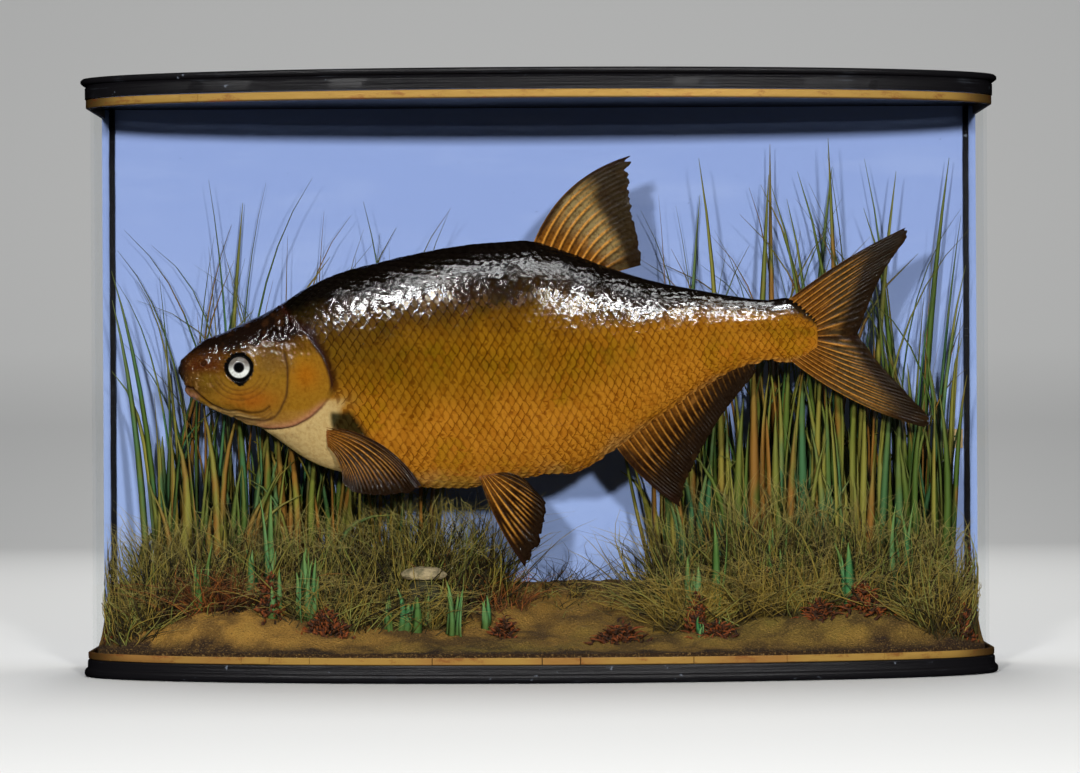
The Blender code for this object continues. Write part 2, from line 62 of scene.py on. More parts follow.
# ---- the case ----
GLASS_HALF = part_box("glass_front")[1].x  # outer face of the glass, to each side
BOW = 80 * MM  # how far the front swells in front of the corners
RETURN = 86 * MM  # the straight glass sides, from the corners to the back board
GLASS = 2.4 * MM
BOARD = 8 * MM
CENTRE_Y = 3.6 * MM
BACK = RETURN - CENTRE_Y  # the back board's front face
BOW_STEPS, SIDE_STEPS = 120, 6
BASE_TOP, BASE_SLIP_TOP = 11.3 * MM, 16.5 * MM
TOP_SLIP_BOTTOM, TOP_BOTTOM = 381.4 * MM, 387.8 * MM
SLIP, SLIP_GROW = 2.6 * MM, 0.5 * MM
SLIP_LENGTH = 0.78  # round the bow, in metres
# Mouldings: height, and how far the edge stands outside the glass.
BASE_MOULDING = ((0, 4.6), (1.2, 5.8), (3.8, 5.8), (5.2, 4.8), (5.8, 3.6), (10.4, 3.6), (11.3, 2.9))
TOP_MOULDING = ((387.8, 3.7), (395.4, 3.7), (395.5, 2.4), (397.3, 2.4), (397.4, 5.6), (398.4, 6.6),
                (400.2, 6.6), (401.4, 5.2))
LABEL_AT, LABEL_SIZE = (287.4, 155.5), (14.4, 13.2)

# ---- the stage, in metres ----
CAMERA_AT, CAMERA_ROLL = (0, -2.4836, 0.1932), math.radians(0.3)
LAMPS_AIM = (0, 0, 0.2)
FLOOR_HALF, FLOOR_BACK, FLOOR_BEND, WALL_TOP = 6.0, 2.0, 0.8, 4.0

# ---- the ground inside ----
GROUND_FRONT, GROUND_BACK = 18.5, 57
GROUND_HALF = GLASS_HALF - GLASS - 2 * GAP
ROOM_HALF = 293 * MM  # how far to each side the growth may reach
GLASS_CLEAR, BOARD_CLEAR = 4 * MM, 2.5 * MM  # what it keeps clear of
MOUNDS = ((-205, -22, 25, 66, 26), (206, -22, 22, 66, 26), (-70, 30, 7, 70, 40), (40, -10, -6, 45, 40))
ROCK_AT, ROCK_SIZE, ROCK_SPREAD = (-79, -6, 42), (15, 11, 25), 0.35
PEBBLE_SIZE = (15, 9.5, 5.4)

# ---- the fish ----
SNOUT = (-242.9, -18.6, 209.6)  # of the fish's frame, in the case's
TILT = math.radians(2.4)
WIDEST = 0.52  # height of the widest line, as a share of the depth
BACK_POWER, BELLY_POWER = 1.2, 1.08
# The body's stations: along, top, bottom, half width.
STATIONS = (
    (0.9, -1.6, -7.5, 2.4), (2.8, 2.8, -12.4, 5), (4.9, 5, -19, 6.6), (9.2, 8.2, -23.4, 8.6),
    (18, 14.8, -29.6, 11), (30, 19.4, -35.8, 13.6), (48, 26.6, -43.2, 16.9), (60, 31.4, -50.4, 18.6),
    (72, 37.6, -59.8, 20.1), (84, 44.6, -68.6, 21.3), (97, 51, -75, 22.6), (112, 56.4, -79.4, 23.8),
    (135, 61.4, -85, 25.2), (160, 66.2, -89.6, 26.2), (190, 70.4, -91.6, 26.4), (218, 71.9, -88, 25.6),
    (241, 71.4, -85.4, 24.2), (265, 63, -84, 21.8), (290, 52.2, -70.4, 18.4), (320, 41.4, -50.6, 14.2),
    (350, 33.8, -32.8, 10.6), (376, 28, -20.2, 8.3), (397, 24.7, -16.2, 6.6), (413, 24.6, -17.2, 5.2),
    (428, 12, -11, 3),
)
EYE_AT, EYE_SIZE, EYE_PROUD = (42.5, -4.5), (8.8, 5.4, 8.8), 2.0
# Lines on the fish's side, as (along, up).
GILL_EDGE = ((64, 70), (70, 42), (78, 28), (88.5, 17.4), (95, 7.7), (100, -0.3), (104.4, -14), (104, -24),
             (98.6, -31), (93.6, -36), (86.5, -41), (74.6, -45.6), (59.2, -45.8), (46, -43), (40, -60))
PREOPERCLE = ((73.2, 3.0), (74.8, -6.8), (73.6, -22.1), (70.8, -29.7), (65.6, -37.5), (59.2, -40.3),
              (48.8, -39.6), (36.6, -37.3))
CHEEK_LOW = ((27.6, -31.6), (33.6, -33.4), (39.8, -33.2), (48.0, -35.0), (55.8, -34.6), (61.2, -31.6))
CHEEK_FOLDS = [[(a + 0.6 * step, u - 2.1 * step) for a, u in CHEEK_LOW] for step in (1, 2, 3)]
SECOND_FOLD = ((51, -44.9), (62.4, -49.3), (73.9, -49.4), (86, -45), (96, -38))
MOUTH = ((0.8, -13.2), (3.6, -15.4), (9.8, -17.0))
JAW_FOLD = ((9.8, -17.0), (14.2, -21.6), (20.8, -27.6), (27.6, -31.6))
LOWER_LIP = ((3.4, -18.1), (6.2, -21.0), (10.8, -22.6))
LATERAL_LINE = ((60, 24), (96, 14), (140, 1), (190, -9), (240, -13), (300, -8), (360, -1), (430, 1))
NOSTRIL = (18.6, -0.6)
SCALE_SIZES = (56, 150, 300, 427), (0.84, 1.0, 0.93, 0.8)  # along, and the scales' size there
ROW_GAPS = (60, 150, 250, 330, 427), (0.88, 1.0, 1.0, 0.88, 0.68)  # along, and the rows' gap there
SCALE_ROWS = 26  # above the lateral line, and as many below
SCALE_SKIRT = 0.5 * MM  # how deep a scale's free edge hangs
SCALE_BAKE = 0.003  # a scale's share of the unwrap's width
BODY_START, BODY_END = 0.95, 428
EYE_RINGS = (15.5, 18.5, 22.0)  # folds round the eye: how far out they are

# A fin's shape, then its look: how pale its web is, how strong its rays are, where it darkens as a share of
# its length and of its width, where its rays fade out, how torn its edge is and how wide its dark front is.
Fin = namedtuple("Fin", "name root tips bow thick edge rays root_out tip_out "
                        "pale strong dark_tip dark_rear fade ragged lead")
FINS = (
    Fin("dorsal_fin", ((240.5, 66), (268, 57), (291, 46.5)),
        ((309.5, 125.1), (308.2, 110), (308.8, 91.6), (311.6, 74), (313.8, 51.5)),
        (11.5, 0), 2.6, 0.7, 11, 0, 0, 0.75, 0.95, 0.62, 0.84, 0.9, 0.9, 0.06),
    Fin("anal_fin", ((289.5, -67), (313, -51), (339, -34.5), (363, -21.5), (384.5, -14)),
        ((331.7, -111.6), (338, -92.5), (348.3, -73.4), (361.3, -53.9), (374, -38.2), (387.4, -23.4)),
        (-3, 0), 2.6, 0.7, 25, 0, 0, 0, 0.5, 0.55, 0.6, 0.95, 0.6, 0.06),
    Fin("tail_fin_upper", ((408, 21.5), (421, 10), (424, -1.8)),
        ((491.5, 68.3), (492.4, 62), (484.0, 51.0), (475.3, 39.0), (465.6, 20.3), (456.0, -2.0)),
        (3, 0), 3.4, 0.7, 11, 0, 0, 0.1, 0.7, 0.62, 1.2, 0.85, 0.3, 0.06),
    Fin("tail_fin_lower", ((424, -1.6), (421, -10), (408, -15.0)),
        ((456.0, -1.4), (469.5, -21.3), (479.5, -33.3), (491.4, -47.3), (500.6, -58.6), (499, -66.4)),
        (0, -5.5), 3.4, 0.7, 11, 0, 0, 0.15, 0.85, 0.74, 1.2, 0.95, 0.3, 0.06),
)
PAIRED_FINS = (
    Fin("pectoral_fin", ((99, -46.0), (98.5, -53), (99, -60)),
        ((160.5, -88.6), (152.7, -92.4), (132.2, -93.6), (116.9, -91.2), (108.4, -84)),
        (9, 3), 3.0, 0.7, 12, 16.5, 29, 0, 0.75, 0.86, 1.2, 1.0, 0.35, 0.24),
    Fin("pelvic_fin", ((198.5, -84.5), (205.5, -83.5), (212.5, -82.5)),
        ((226.5, -146.6), (236.0, -131.4), (240.2, -117.3), (242.0, -105.0), (234.0, -95.2)),
        (-3, 4), 2.8, 0.7, 9, 9, 15, 0, 0.9, 0.76, 0.68, 1.0, 0.8, 0.06),
)

# ---- the growth behind and below the fish ----
# Reeds: foot, tip, height, width.
REEDS = (
    (-268, -288, 262, 7), (-262, -297, 281, 6), (-247, -268, 284, 4), (-238, -232, 316, 4),
    (-222, -206, 322, 8), (-208, -187, 353, 4), (-196, -178, 300, 7), (-186, -152, 266, 5),
    (-136, -131, 320, 5), (-112, -98, 334, 5), (-98, -86, 325, 4), (84, 78, 300, 6), (104, 112, 326, 8),
    (124, 116, 352, 7), (146, 158, 338, 9), (166, 160, 360, 8), (186, 204, 345, 9), (206, 198, 362, 8),
    (226, 246, 340, 9), (246, 238, 356, 7), (262, 284, 350, 8),
)
REED_LANES = (34, 80)
SEDGE_WIDE = 4.0  # a reed this wide or wider is a flat strip that keeps its width
MOST_BLADES = 4500  # in one piece
# Reeds in clumps: where each stands, its half width, how far its tips spread, its blades' least and greatest
# height, their width and how many there are.
CLUMPS = (
    (-262, 6, 20, 190, 285, 3.4, 9), (-256, 6, 6, 100, 165, 7.0, 12), (-234, 10, 26, 200, 310, 2.6, 12),
    (-204, 26, 10, 110, 200, 6.0, 46), (-196, 22, 18, 220, 350, 2.4, 16), (-158, 26, 10, 120, 200, 5.6, 40),
    (-158, 22, 16, 170, 320, 2.8, 16), (-126, 8, 10, 220, 330, 2.4, 9), (-92, 20, 16, 160, 330, 2.8, 20),
    (92, 14, 18, 190, 330, 2.6, 18), (106, 22, 6, 110, 200, 6.0, 30), (130, 20, 16, 210, 330, 2.8, 22),
    (156, 28, 8, 120, 225, 6.4, 60), (160, 20, 20, 240, 350, 2.8, 20), (208, 26, 20, 240, 362, 3.2, 26),
    (214, 32, 8, 120, 225, 6.6, 64), (252, 18, 22, 220, 342, 3.2, 22), (258, 14, 10, 110, 190, 6.0, 22),
    (276, 10, 20, 180, 300, 3.6, 12),
)
Plant = namedtuple("Plant", "dark pale tip foot odd gloss steps sides flatness taper")
# Painted shade at the feet of the grass, stem and moss blades, and the colour of some dark strands.
FOOT_SHADE_AND_DARK_STRANDS = (34, 24, 12)
PLANTS = {
    "reeds": Plant("reed_green", "reed_brown", (84, 76, 34), "reed_foot", "teal", 0.5, 12, 4, 0.2, 1.6),
    "sedge": Plant((70, 92, 34), (128, 122, 50), (110, 112, 52), "reed_foot", "teal", 0.5, 9, 4, 0.14, 2.6),
    "grass": Plant("olive", "straw", (196, 178, 104), FOOT_SHADE_AND_DARK_STRANDS, (124, 130, 58), 0.7, 7, 3, 0.7, 1.6),
    "fine_grass": Plant((38, 36, 12), (156, 130, 54), (190, 170, 100), FOOT_SHADE_AND_DARK_STRANDS, (146, 146, 72),
                        0.7, 7, 3, 0.8, 1.6),
    "red_grass": Plant((70, 36, 15), (156, 92, 40), (160, 116, 62), FOOT_SHADE_AND_DARK_STRANDS, (104, 50, 24), 0.7, 7, 3, 0.8, 1.6),
    "green_blades": Plant("green", "green_pale", (112, 140, 70), (66, 84, 34), (54, 112, 66),
                          0.45, 8, 4, 0.16, 2.0),
    "wiry_stems": Plant((52, 48, 40), (96, 84, 60), (80, 72, 56), FOOT_SHADE_AND_DARK_STRANDS, FOOT_SHADE_AND_DARK_STRANDS, 0.7, 8, 3, 0.8, 1.4),
    "moss": Plant((74, 34, 12), "rust", (156, 86, 36), FOOT_SHADE_AND_DARK_STRANDS, (46, 24, 11), 0.8, 4, 4, 0.3, 1.5),
}
# Growth from the ground: where each patch stands, how far it spreads, its blades' least and greatest height,
# their width, how many there are, how far they lean and how pale they are. A patch's place here is its seed.
Patch = namedtuple("Patch", "look x y wide deep low high thick count lean shade")
PATCHES = [Patch(look, *patch) for look, patches in (
    ("grass", (
        (-266, 6, 24, 26, 24, 84, 1.0, 520, 0.35, 0.4), (-214, 12, 34, 24, 26, 90, 1.0, 740, 0.35, 0.35),
        (-150, 12, 36, 24, 26, 84, 1.0, 740, 0.35, 0.35), (-92, 22, 32, 24, 26, 98, 0.95, 620, 0.35, 0.3),
        (-50, 22, 22, 20, 22, 86, 0.95, 420, 0.35, 0.3))),
    ("fine_grass", ((-78, -18, 10, 7, 10, 32, 0.8, 320, 0.6, 0.5),)),
    ("grass", (
        (96, 20, 22, 22, 24, 84, 0.95, 470, 0.35, 0.5), (150, 16, 32, 24, 30, 112, 1.0, 800, 0.3, 0.4),
        (212, 14, 36, 24, 28, 98, 1.0, 820, 0.35, 0.4), (266, 8, 24, 26, 26, 90, 1.0, 540, 0.35, 0.45))),
    ("fine_grass", (
        (-272, -12, 16, 14, 14, 46, 0.8, 420, 0.6, 0.6), (-240, -8, 18, 12, 12, 40, 0.8, 300, 0.6, 0.6),
        (-140, -16, 34, 12, 14, 46, 0.8, 760, 0.6, 0.5), (-84, -8, 22, 12, 14, 46, 0.8, 420, 0.6, 0.6),
        (100, -6, 20, 14, 16, 50, 0.8, 620, 0.6, 0.95), (136, -8, 22, 12, 16, 54, 0.8, 560, 0.6, 0.7),
        (176, -8, 24, 12, 18, 60, 0.8, 700, 0.55, 0.9), (262, -14, 20, 14, 18, 60, 0.8, 620, 0.6, 0.6),
        (20, 34, 80, 24, 6, 20, 0.6, 300, 0.8, 0.5))),
    ("red_grass", (
        (-222, -14, 26, 10, 18, 44, 0.85, 460, 0.6, 0.5), (-62, 22, 14, 12, 20, 56, 0.8, 160, 0.5, 0.5),
        (-26, 14, 16, 12, 12, 36, 0.8, 130, 0.5, 0.6))),
    ("green_blades", (
        (-183, -6, 2, 3, 80, 98, 8.5, 2, 0.03, 0.7), (-190, -8, 6, 4, 44, 76, 6.0, 5, 0.12, 0.6),
        (-233, -18, 10, 4, 30, 54, 5.6, 7, 0.06, 0.25), (-156, -24, 9, 4, 34, 64, 7.0, 8, 0.06, 0.7),
        (-176, -26, 4, 3, 18, 34, 5.0, 3, 0.06, 0.8), (-92, -24, 9, 4, 20, 38, 5.4, 8, 0.08, 0.5),
        (-58, -28, 4, 3, 26, 42, 6.0, 5, 0.06, 0.8), (-36, -20, 4, 3, 20, 32, 4.0, 3, 0.08, 0.3),
        (103, -8, 5, 4, 30, 48, 6.6, 5, 0.06, 1.0), (118, -10, 3, 3, 58, 72, 7.0, 3, 0.04, 0.1),
        (160, 4, 8, 6, 40, 66, 5.0, 5, 0.06, 0.2), (209, -16, 5, 3, 36, 50, 6.6, 4, 0.05, 0.15),
        (247, 4, 8, 5, 56, 84, 5.4, 6, 0.05, 0.8), (110, -34, 18, 8, 8, 16, 2.4, 10, 0.3, 0.4))),
    ("wiry_stems", ((20, 66, 46, 6, 14, 40, 0.5, 60, 0.6, 0.5),)),
    ("moss", (
        (-292, -4, 6, 12, 4, 12, 2.2, 190, 0.7, 0.7), (-182, -26, 6, 6, 6, 26, 2.2, 170, 0.5, 0.8),
        (-142, -38, 11, 5, 5, 15, 2.2, 240, 0.6, 0.9), (-24, -30, 7, 8, 3, 9, 1.7, 90, 0.8, 0.8),
        (52, -36, 14, 5, 4, 11, 1.9, 190, 0.7, 0.6), (104, -24, 6, 5, 6, 20, 2.2, 160, 0.5, 0.95),
        (116, -36, 11, 5, 3, 8, 1.8, 120, 0.8, 0.6), (152, 0, 15, 6, 12, 34, 2.1, 230, 0.45, 0.7),
        (216, -22, 12, 6, 6, 17, 2.2, 260, 0.6, 0.9), (186, -28, 8, 5, 4, 9, 1.9, 100, 0.8, 0.8),
        (282, -16, 7, 7, 7, 22, 2.3, 260, 0.6, 0.95), (291, 14, 5, 8, 14, 46, 2.1, 160, 0.45, 0.6))),
) for patch in patches]


# ---- settings ----
def linear(red, green, blue):
    """A screen colour, 0 to 255, as a shader's numbers."""
    shares = (red / 255, green / 255, blue / 255)
    return tuple(((s + 0.055) / 1.055) ** 2.4 if s > 0.04 else s / 12.92 for s in shares)


def colour(red, green, blue, about):
    return FloatVectorProperty(description=about, default=linear(red, green, blue), min=0, max=1,
                               subtype="COLOR")


def size(mm, about):
    return FloatProperty(description=about, default=mm * MM, min=0, unit="LENGTH", precision=4)


def factor(value, about):
    return FloatProperty(description=about, default=value, min=0, subtype="FACTOR")


def power(watts, about):
    return FloatProperty(description=about, default=watts, min=0, unit="POWER")


class BreamCase(bpy.types.PropertyGroup):
    """The case's finishes"""
    ebony: colour(15, 14, 16, "Black stain of the boards")
    # Also the colour of a painted sheen along the black boards.
    dust: colour(120, 128, 140, "Scratches and dust on the black boards")
    gold: colour(176, 138, 68, "Gilding of the slips")
    bole: colour(120, 52, 26, "Red clay where the gold leaf has worn off")
    # Darker than the paint near the ground, as painted shade under the top board.
    board_high: colour(138, 157, 206, "Blue paint near the top board")
    board_low: colour(146, 166, 212, "Blue paint near the ground")
    paper: colour(188, 160, 112, "Aged paper of the label")
    shine: factor(0.03, "Share of the light that the glass throws back")
    slip_piece: size(42, "Usual length of a piece of the broken base slip")


class BreamGround(bpy.types.PropertyGroup):
    """The ground and what grows on it"""
    sand: colour(178, 132, 56, "Dry ground of the mounds")
    peat: colour(52, 34, 18, "Dark ground in the hollows and by the glass")
    lichen: colour(112, 104, 40, "Olive growth on the ground")
    stone: colour(166, 148, 112, "The pale flat stone")
    slate: colour(58, 56, 34, "The rock under the stone")
    straw: colour(148, 130, 54, "Pale end of the grass's colours")
    olive: colour(32, 31, 10, "Dark end of the grass's colours")
    green: colour(68, 100, 44, "Dark end of the short blades' colours")
    green_pale: colour(92, 128, 76, "Pale end of the short blades' colours")
    rust: colour(126, 62, 24, "Red moss")
    reed_green: colour(58, 84, 36, "Green end of the reeds' colours")
    reed_brown: colour(118, 114, 46, "Dry end of the reeds' colours")
    reed_foot: colour(140, 92, 38, "Dry feet of the reeds")
    teal: colour(58, 102, 66, "Blue-green streaks on the reeds")
    growth: factor(1.0, "Share of the blades that are grown")


class BreamFish(bpy.types.PropertyGroup):
    """The fish's scales, fins and colours"""
    pitch: size(6.1, "From one scale to the next along the shoulder")
    row_gap: size(4.6, "From one row of scales to the next at the middle")
    scale_long: size(10.4, "Root to free edge of one scale")
    scale_half: size(4.75, "Middle of a scale to its corner")
    scale_rise: size(0.3, "How far a scale's free edge stands above its root")
    back: colour(54, 38, 14, "Upper flank")
    ridge: colour(16, 12, 9, "Along the top of the back")
    flank: colour(130, 87, 14, "Middle of the side")
    shoulder: colour(92, 64, 14, "Side behind the head")
    belly: colour(169, 109, 28, "Lower flank")
    crown: colour(24, 14, 9, "Top of the head")
    snout: colour(82, 52, 18, "Front of the head")
    cheek: colour(135, 96, 28, "Below and behind the eye")
    gill: colour(139, 97, 25, "The gill cover's plate")
    jaw: colour(170, 136, 80, "Cream band under the cheek")
    throat: colour(186, 158, 104, "Bare skin between the gill covers and the pectoral fins")
    lip: colour(150, 104, 80, "Lower lip and the wrinkles behind it")
    seam: colour(46, 22, 14, "Behind the gill cover")
    ray: colour(204, 138, 54, "Rays of the fins")
    web: colour(30, 15, 5, "Between the rays")
    iris: colour(232, 232, 224, "The glass eye's iris")
    varnish: factor(0.75, "Strength of the shine on the skin")


class BreamStage(bpy.types.PropertyGroup):
    """The light, the floor and the camera"""
    floor: colour(226, 226, 224, "The floor and the wall behind")
    front_power: power(48, "Power of each front lamp")
    low_power: power(13, "Power of each lamp that the varnish mirrors")
    top_power: power(9, "Power of the long lamp above")
    over_power: power(40, "Power of the soft lamps above and behind")
    sky: factor(0.09, "Light from all round")
    lens: FloatProperty(description="Focal length", default=122.63, min=1, unit="CAMERA")


# ---- meshes ----
def link(name, data):
    made = bpy.data.objects.new(name, data)
    bpy.context.scene.collection.objects.link(made)
    return made


def mesh_object(name, points, faces, look, sharp=40.0, outwards=True):
    """An object of these points and faces, in metres, shaded smooth except at sharp edges."""
    mesh = bpy.data.meshes.new(name)
    mesh.from_pydata([tuple(p) for p in points], [], [tuple(map(int, f)) for f in faces])
    if outwards:
        bm = bmesh.new()
        bm.from_mesh(mesh)
        bmesh.ops.recalc_face_normals(bm, faces=bm.faces)
        bm.to_mesh(mesh)
        bm.free()
    mesh.materials.append(look)
    mesh.shade_smooth()
    mesh.set_sharp_from_angle(angle=math.radians(sharp))
    return link(name, mesh)


def grid_faces(rows, columns, wrap=False, start=0):
    """Faces between rows of points; with wrap, each row closes on itself."""
    row, column = np.meshgrid(np.arange(rows - 1), np.arange(columns if wrap else columns - 1), indexing="ij")
    after = (column + 1) % columns
    corners = [row * columns + column, row * columns + after, (row + 1) * columns + after,
               (row + 1) * columns + column]
    return (np.stack(corners, -1).reshape(-1, 4) + start).tolist()


def loft(name, rings, look, sharp=40.0):
    """A closed solid through rings of points."""
    rings = np.array(rings, float)
    rows, columns = rings.shape[:2]
    faces = grid_faces(rows, columns, wrap=True)
    faces += [list(range(columns)), list(range((rows - 1) * columns, rows * columns))]
    return mesh_object(name, rings.reshape(-1, 3), faces, look, sharp)


def rim_of(rows, columns):
    """The numbers of the points along a grid's edge, in order."""
    at = np.arange(rows * columns).reshape(rows, columns)
    return np.concatenate([at[:, 0], at[-1, 1:], at[-2::-1, -1], at[0, -2:0:-1]])


def wall(rim, other):
    """Faces between two closed lines of points."""
    return np.stack([rim, np.roll(rim, -1), np.roll(other, -1), other], 1).tolist()


def slab(name, near, far, look, sharp=40.0):
    """A closed sheet between two grids of points."""
    shape = near.shape[:2]
    count, rim = shape[0] * shape[1], rim_of(*shape)
    faces = grid_faces(*shape) + grid_faces(*shape, start=count) + wall(rim, rim + count)
    return mesh_object(name, np.concatenate([near.reshape(-1, 3), far.reshape(-1, 3)]), faces, look, sharp)


def ball(make, **steps):
    """The points and faces of a round form with a radius of 1."""
    bm = bmesh.new()
    make(bm, radius=1, **steps)
    points = np.array([v.co for v in bm.verts])
    faces = [[v.index for v in f.verts] for f in bm.faces]
    bm.free()
    # The maker's faces come in no fixed order, so they are put in one.
    return points, sorted(min(f[i:] + f[:i] for i in range(len(f))) for f in faces)


def join(name, parts):
    """One object from several, with the first one's material."""
    bm = bmesh.new()
    for part in parts:
        bm.from_mesh(part.data)
    mesh = bpy.data.meshes.new(name)
    bm.to_mesh(mesh)
    bm.free()
    mesh.materials.append(parts[0].data.materials[0])
    for part in parts:
        bpy.data.objects.remove(part)
    return link(name, mesh)


def paint(made, colours):
    """Gives each point of an object its own colour."""
    colours = np.concatenate([colours, np.ones((len(colours), 1))], 1)
    layer = made.data.attributes.new("paint", "FLOAT_COLOR", "POINT")
    layer.data.foreach_set("color", colours.astype(np.float32).ravel())


def show(made, slot, *nodes):
    """Hands a finished piece to the frame: it rides with the case and stands for these nodes."""
    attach(made, "root")
    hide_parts(*nodes)
    return made


def soft(t):
    return t * t * (3 - 2 * t)


def smooth(value, low, high):
    """0 below low, 1 above high and a soft step between. High may be below low."""
    return soft(np.clip((np.asarray(value, float) - low) / (high - low), 0, 1))


def through(knots, values, at):
    """Values at places on a smooth curve through the known ones."""
    knots, values = np.array(knots), np.array(values, float)
    slopes = np.gradient(values, knots, axis=0)
    i = np.clip(np.searchsorted(knots, at) - 1, 0, len(knots) - 2)
    span = (knots[i + 1] - knots[i])[:, None]
    t = (at - knots[i])[:, None] / span
    return ((2 * t**3 - 3 * t**2 + 1) * values[i] + (t**3 - 2 * t**2 + t) * span * slopes[i]
            + (3 * t**2 - 2 * t**3) * values[i + 1] + (t**3 - t**2) * span * slopes[i + 1])


def smooth_path(points, count):
    """count points, evenly spread by number, on a smooth curve through the given ones."""
    return through(np.arange(len(points)), points, np.linspace(0, len(points) - 1, count))


def path_distance(along, up, path, count=40):
    """Distance in mm from places on the fish's side to a line on it, and which side of it they are on."""
    line = smooth_path(path, count)
    place = np.stack([np.ravel(along), np.ravel(up)], 1)
    best, turn = np.full(len(place), np.inf), np.zeros(len(place))
    for a, b in zip(line, line[1:]):
        way = b - a
        t = np.clip(((place - a) @ way) / (way @ way), 0, 1)
        off = place - a - t[:, None] * way
        distance = np.linalg.norm(off, axis=1)
        nearer = distance < best
        best = np.where(nearer, distance, best)
        turn = np.where(nearer, np.sign(way[0] * off[:, 1] - way[1] * off[:, 0]), turn)
    return best.reshape(np.shape(along)), turn.reshape(np.shape(along))


def ridge(distance, width):
    """1 on a line, fading to 0 at about twice this width from it."""
    return np.exp(-((distance / width) ** 2))


def spot_at(along, up, centre, reach):
    """1 at a place on the fish's side or the ground, fading out over its reach each way."""
    return ridge(np.hypot((along - centre[0]) / reach[0], (up - centre[1]) / reach[1]), 1.0)


def laid(base, *layers):
    """A colour with others laid over it, each with its share at every place."""
    for share, target in layers:
        share = np.clip(share, 0, 1)[..., None]
        target = linear(*target) if isinstance(target, tuple) else target
        base = np.asarray(base) * (1 - share) + np.array(target) * share
    return base


class Lumps:
    """Soft random lumps, from -1 to 1, with the same seed each time."""
    COUNT = 32

    def __init__(self, seed):
        self.values = np.random.RandomState(SEED + seed).uniform(-1, 1, (self.COUNT,) * 3)

    def at(self, x, y, z, scale, octaves=1):
        """The lumps at these places; scale is the size of one lump."""
        total, strength = 0.0, 1.0
        for _ in range(octaves):
            cells = [np.asarray(v, float) / scale for v in (x, y, z)]
            low = [np.floor(c).astype(int) for c in cells]
            part = [soft(c - l) for c, l in zip(cells, low)]
            value = 0.0
            for corner in np.ndindex(2, 2, 2):
                a, b, c = (p if k else 1 - p for k, p in zip(corner, part))
                at = tuple((l + k) % self.COUNT for k, l in zip(corner, low))
                value = value + a * b * c * self.values[at]
            total = total + strength * value
            strength, scale = strength / 2, scale / 2.03
        return total


# ---- node trees ----
class Field:
    """A node's output that adds, multiplies and so on by writing it."""

    def __init__(self, tree, socket):
        self.tree, self.socket = tree, socket

    def join(self, operation, a, b):
        vectors = [v for v in (a, b) if isinstance(v, tuple) or getattr(v, "is_vector", False)]
        if not vectors:
            return self.tree.math(operation, a, b)
        if operation == "MULTIPLY" and len(vectors) == 1:
            other = b if vectors[0] is a else a
            return self.tree.vector_math("SCALE", {"Vector": vectors[0], "Scale": other})
        return self.tree.vector_math(operation, {0: a, 1: b})

    @property
    def is_vector(self):
        return self.socket.type == "VECTOR"


for sign, operation in (("add", "ADD"), ("sub", "SUBTRACT"), ("mul", "MULTIPLY"), ("truediv", "DIVIDE"),
                        ("pow", "POWER")):
    setattr(Field, "__%s__" % sign, lambda a, b, made=operation: a.join(made, a, b))
    setattr(Field, "__r%s__" % sign, lambda a, b, made=operation: a.join(made, b, a))


class Tree:
    """A node tree that is built by calling its parts."""

    def __init__(self, tree):
        self.tree = tree

    def node(self, kind, inputs=None, output=0, **settings):
        """Adds a node and gives back one of its outputs."""
        made = self.tree.nodes.new(kind)
        for name, value in settings.items():
            setattr(made, name, value)
        for key, value in (inputs or {}).items():
            self.plug(self.socket(made.inputs, key), value)
        return Field(self, self.socket(made.outputs, output))

    def plug(self, socket, value):
        if isinstance(value, Field):
            self.tree.links.new(value.socket, socket)
        else:
            socket.default_value = (*value, 1) if socket.type == "RGBA" and len(value) == 3 else value

    def socket(self, sockets, key):
        """The socket of this name or number among those in use."""
        if isinstance(key, str):
            return next(s for s in sockets if s.name == key and s.enabled)
        return [s for s in sockets if s.enabled][key]

    def math(self, operation, a, b=None):
        return self.node("ShaderNodeMath", {0: a} if b is None else {0: a, 1: b}, operation=operation)

    def vector_math(self, operation, inputs):
        return self.node("ShaderNodeVectorMath", inputs, operation=operation)

    def parts(self, vector):
        split = self.node("ShaderNodeSeparateXYZ", {0: vector}).socket.node
        return [Field(self, out) for out in split.outputs]

    def step(self, value, low, high):
        """A soft step from 0 at low to 1 at high."""
        return self.node("ShaderNodeMapRange", {"Value": value, "From Min": low, "From Max": high},
                         interpolation_type="SMOOTHSTEP")


class Growth(Tree):
    """A geometry-nodes group that makes something of each point of a mesh."""

    def __init__(self, name, **kinds):
        super().__init__(bpy.data.node_groups.new(name, "GeometryNodeTree"))
        for key, kind in {"Points": "Geometry", **kinds, "Material": "Material"}.items():
            self.tree.interface.new_socket(key, in_out="INPUT", socket_type="NodeSocket" + kind)
        self.tree.interface.new_socket("Grown", in_out="OUTPUT", socket_type="NodeSocketGeometry")
        given = self.tree.nodes.new("NodeGroupInput")
        self.get = {out.name: Field(self, out) for out in given.outputs if out.name}

    def make(self, kind, output=0, mode=None, **inputs):
        """Adds a geometry node; Size_X stands for Size X, and mode holds its other settings."""
        inputs = {key.replace("_", " "): value for key, value in inputs.items()}
        return self.node("GeometryNode" + kind, inputs, output, **(mode or {}))

    def named(self, name, kind="FLOAT_VECTOR"):
        return self.make("InputNamedAttribute", Name=name, mode={"data_type": kind})

    def store(self, geometry, name, value, kind="FLOAT", domain="POINT"):
        return self.make("StoreNamedAttribute", Geometry=geometry, Name=name, Value=value,
                         mode={"data_type": kind, "domain": domain})

    def realize(self, geometry):
        return self.make("RealizeInstances", Geometry=geometry)

    def finish(self, geometry):
        """Gives the result its material and hands it out."""
        made = self.make("SetMaterial", Geometry=geometry, Material=self.get["Material"])
        out = self.tree.nodes.new("NodeGroupOutput")
        self.tree.links.new(made.socket, out.inputs[0])
        return self.tree


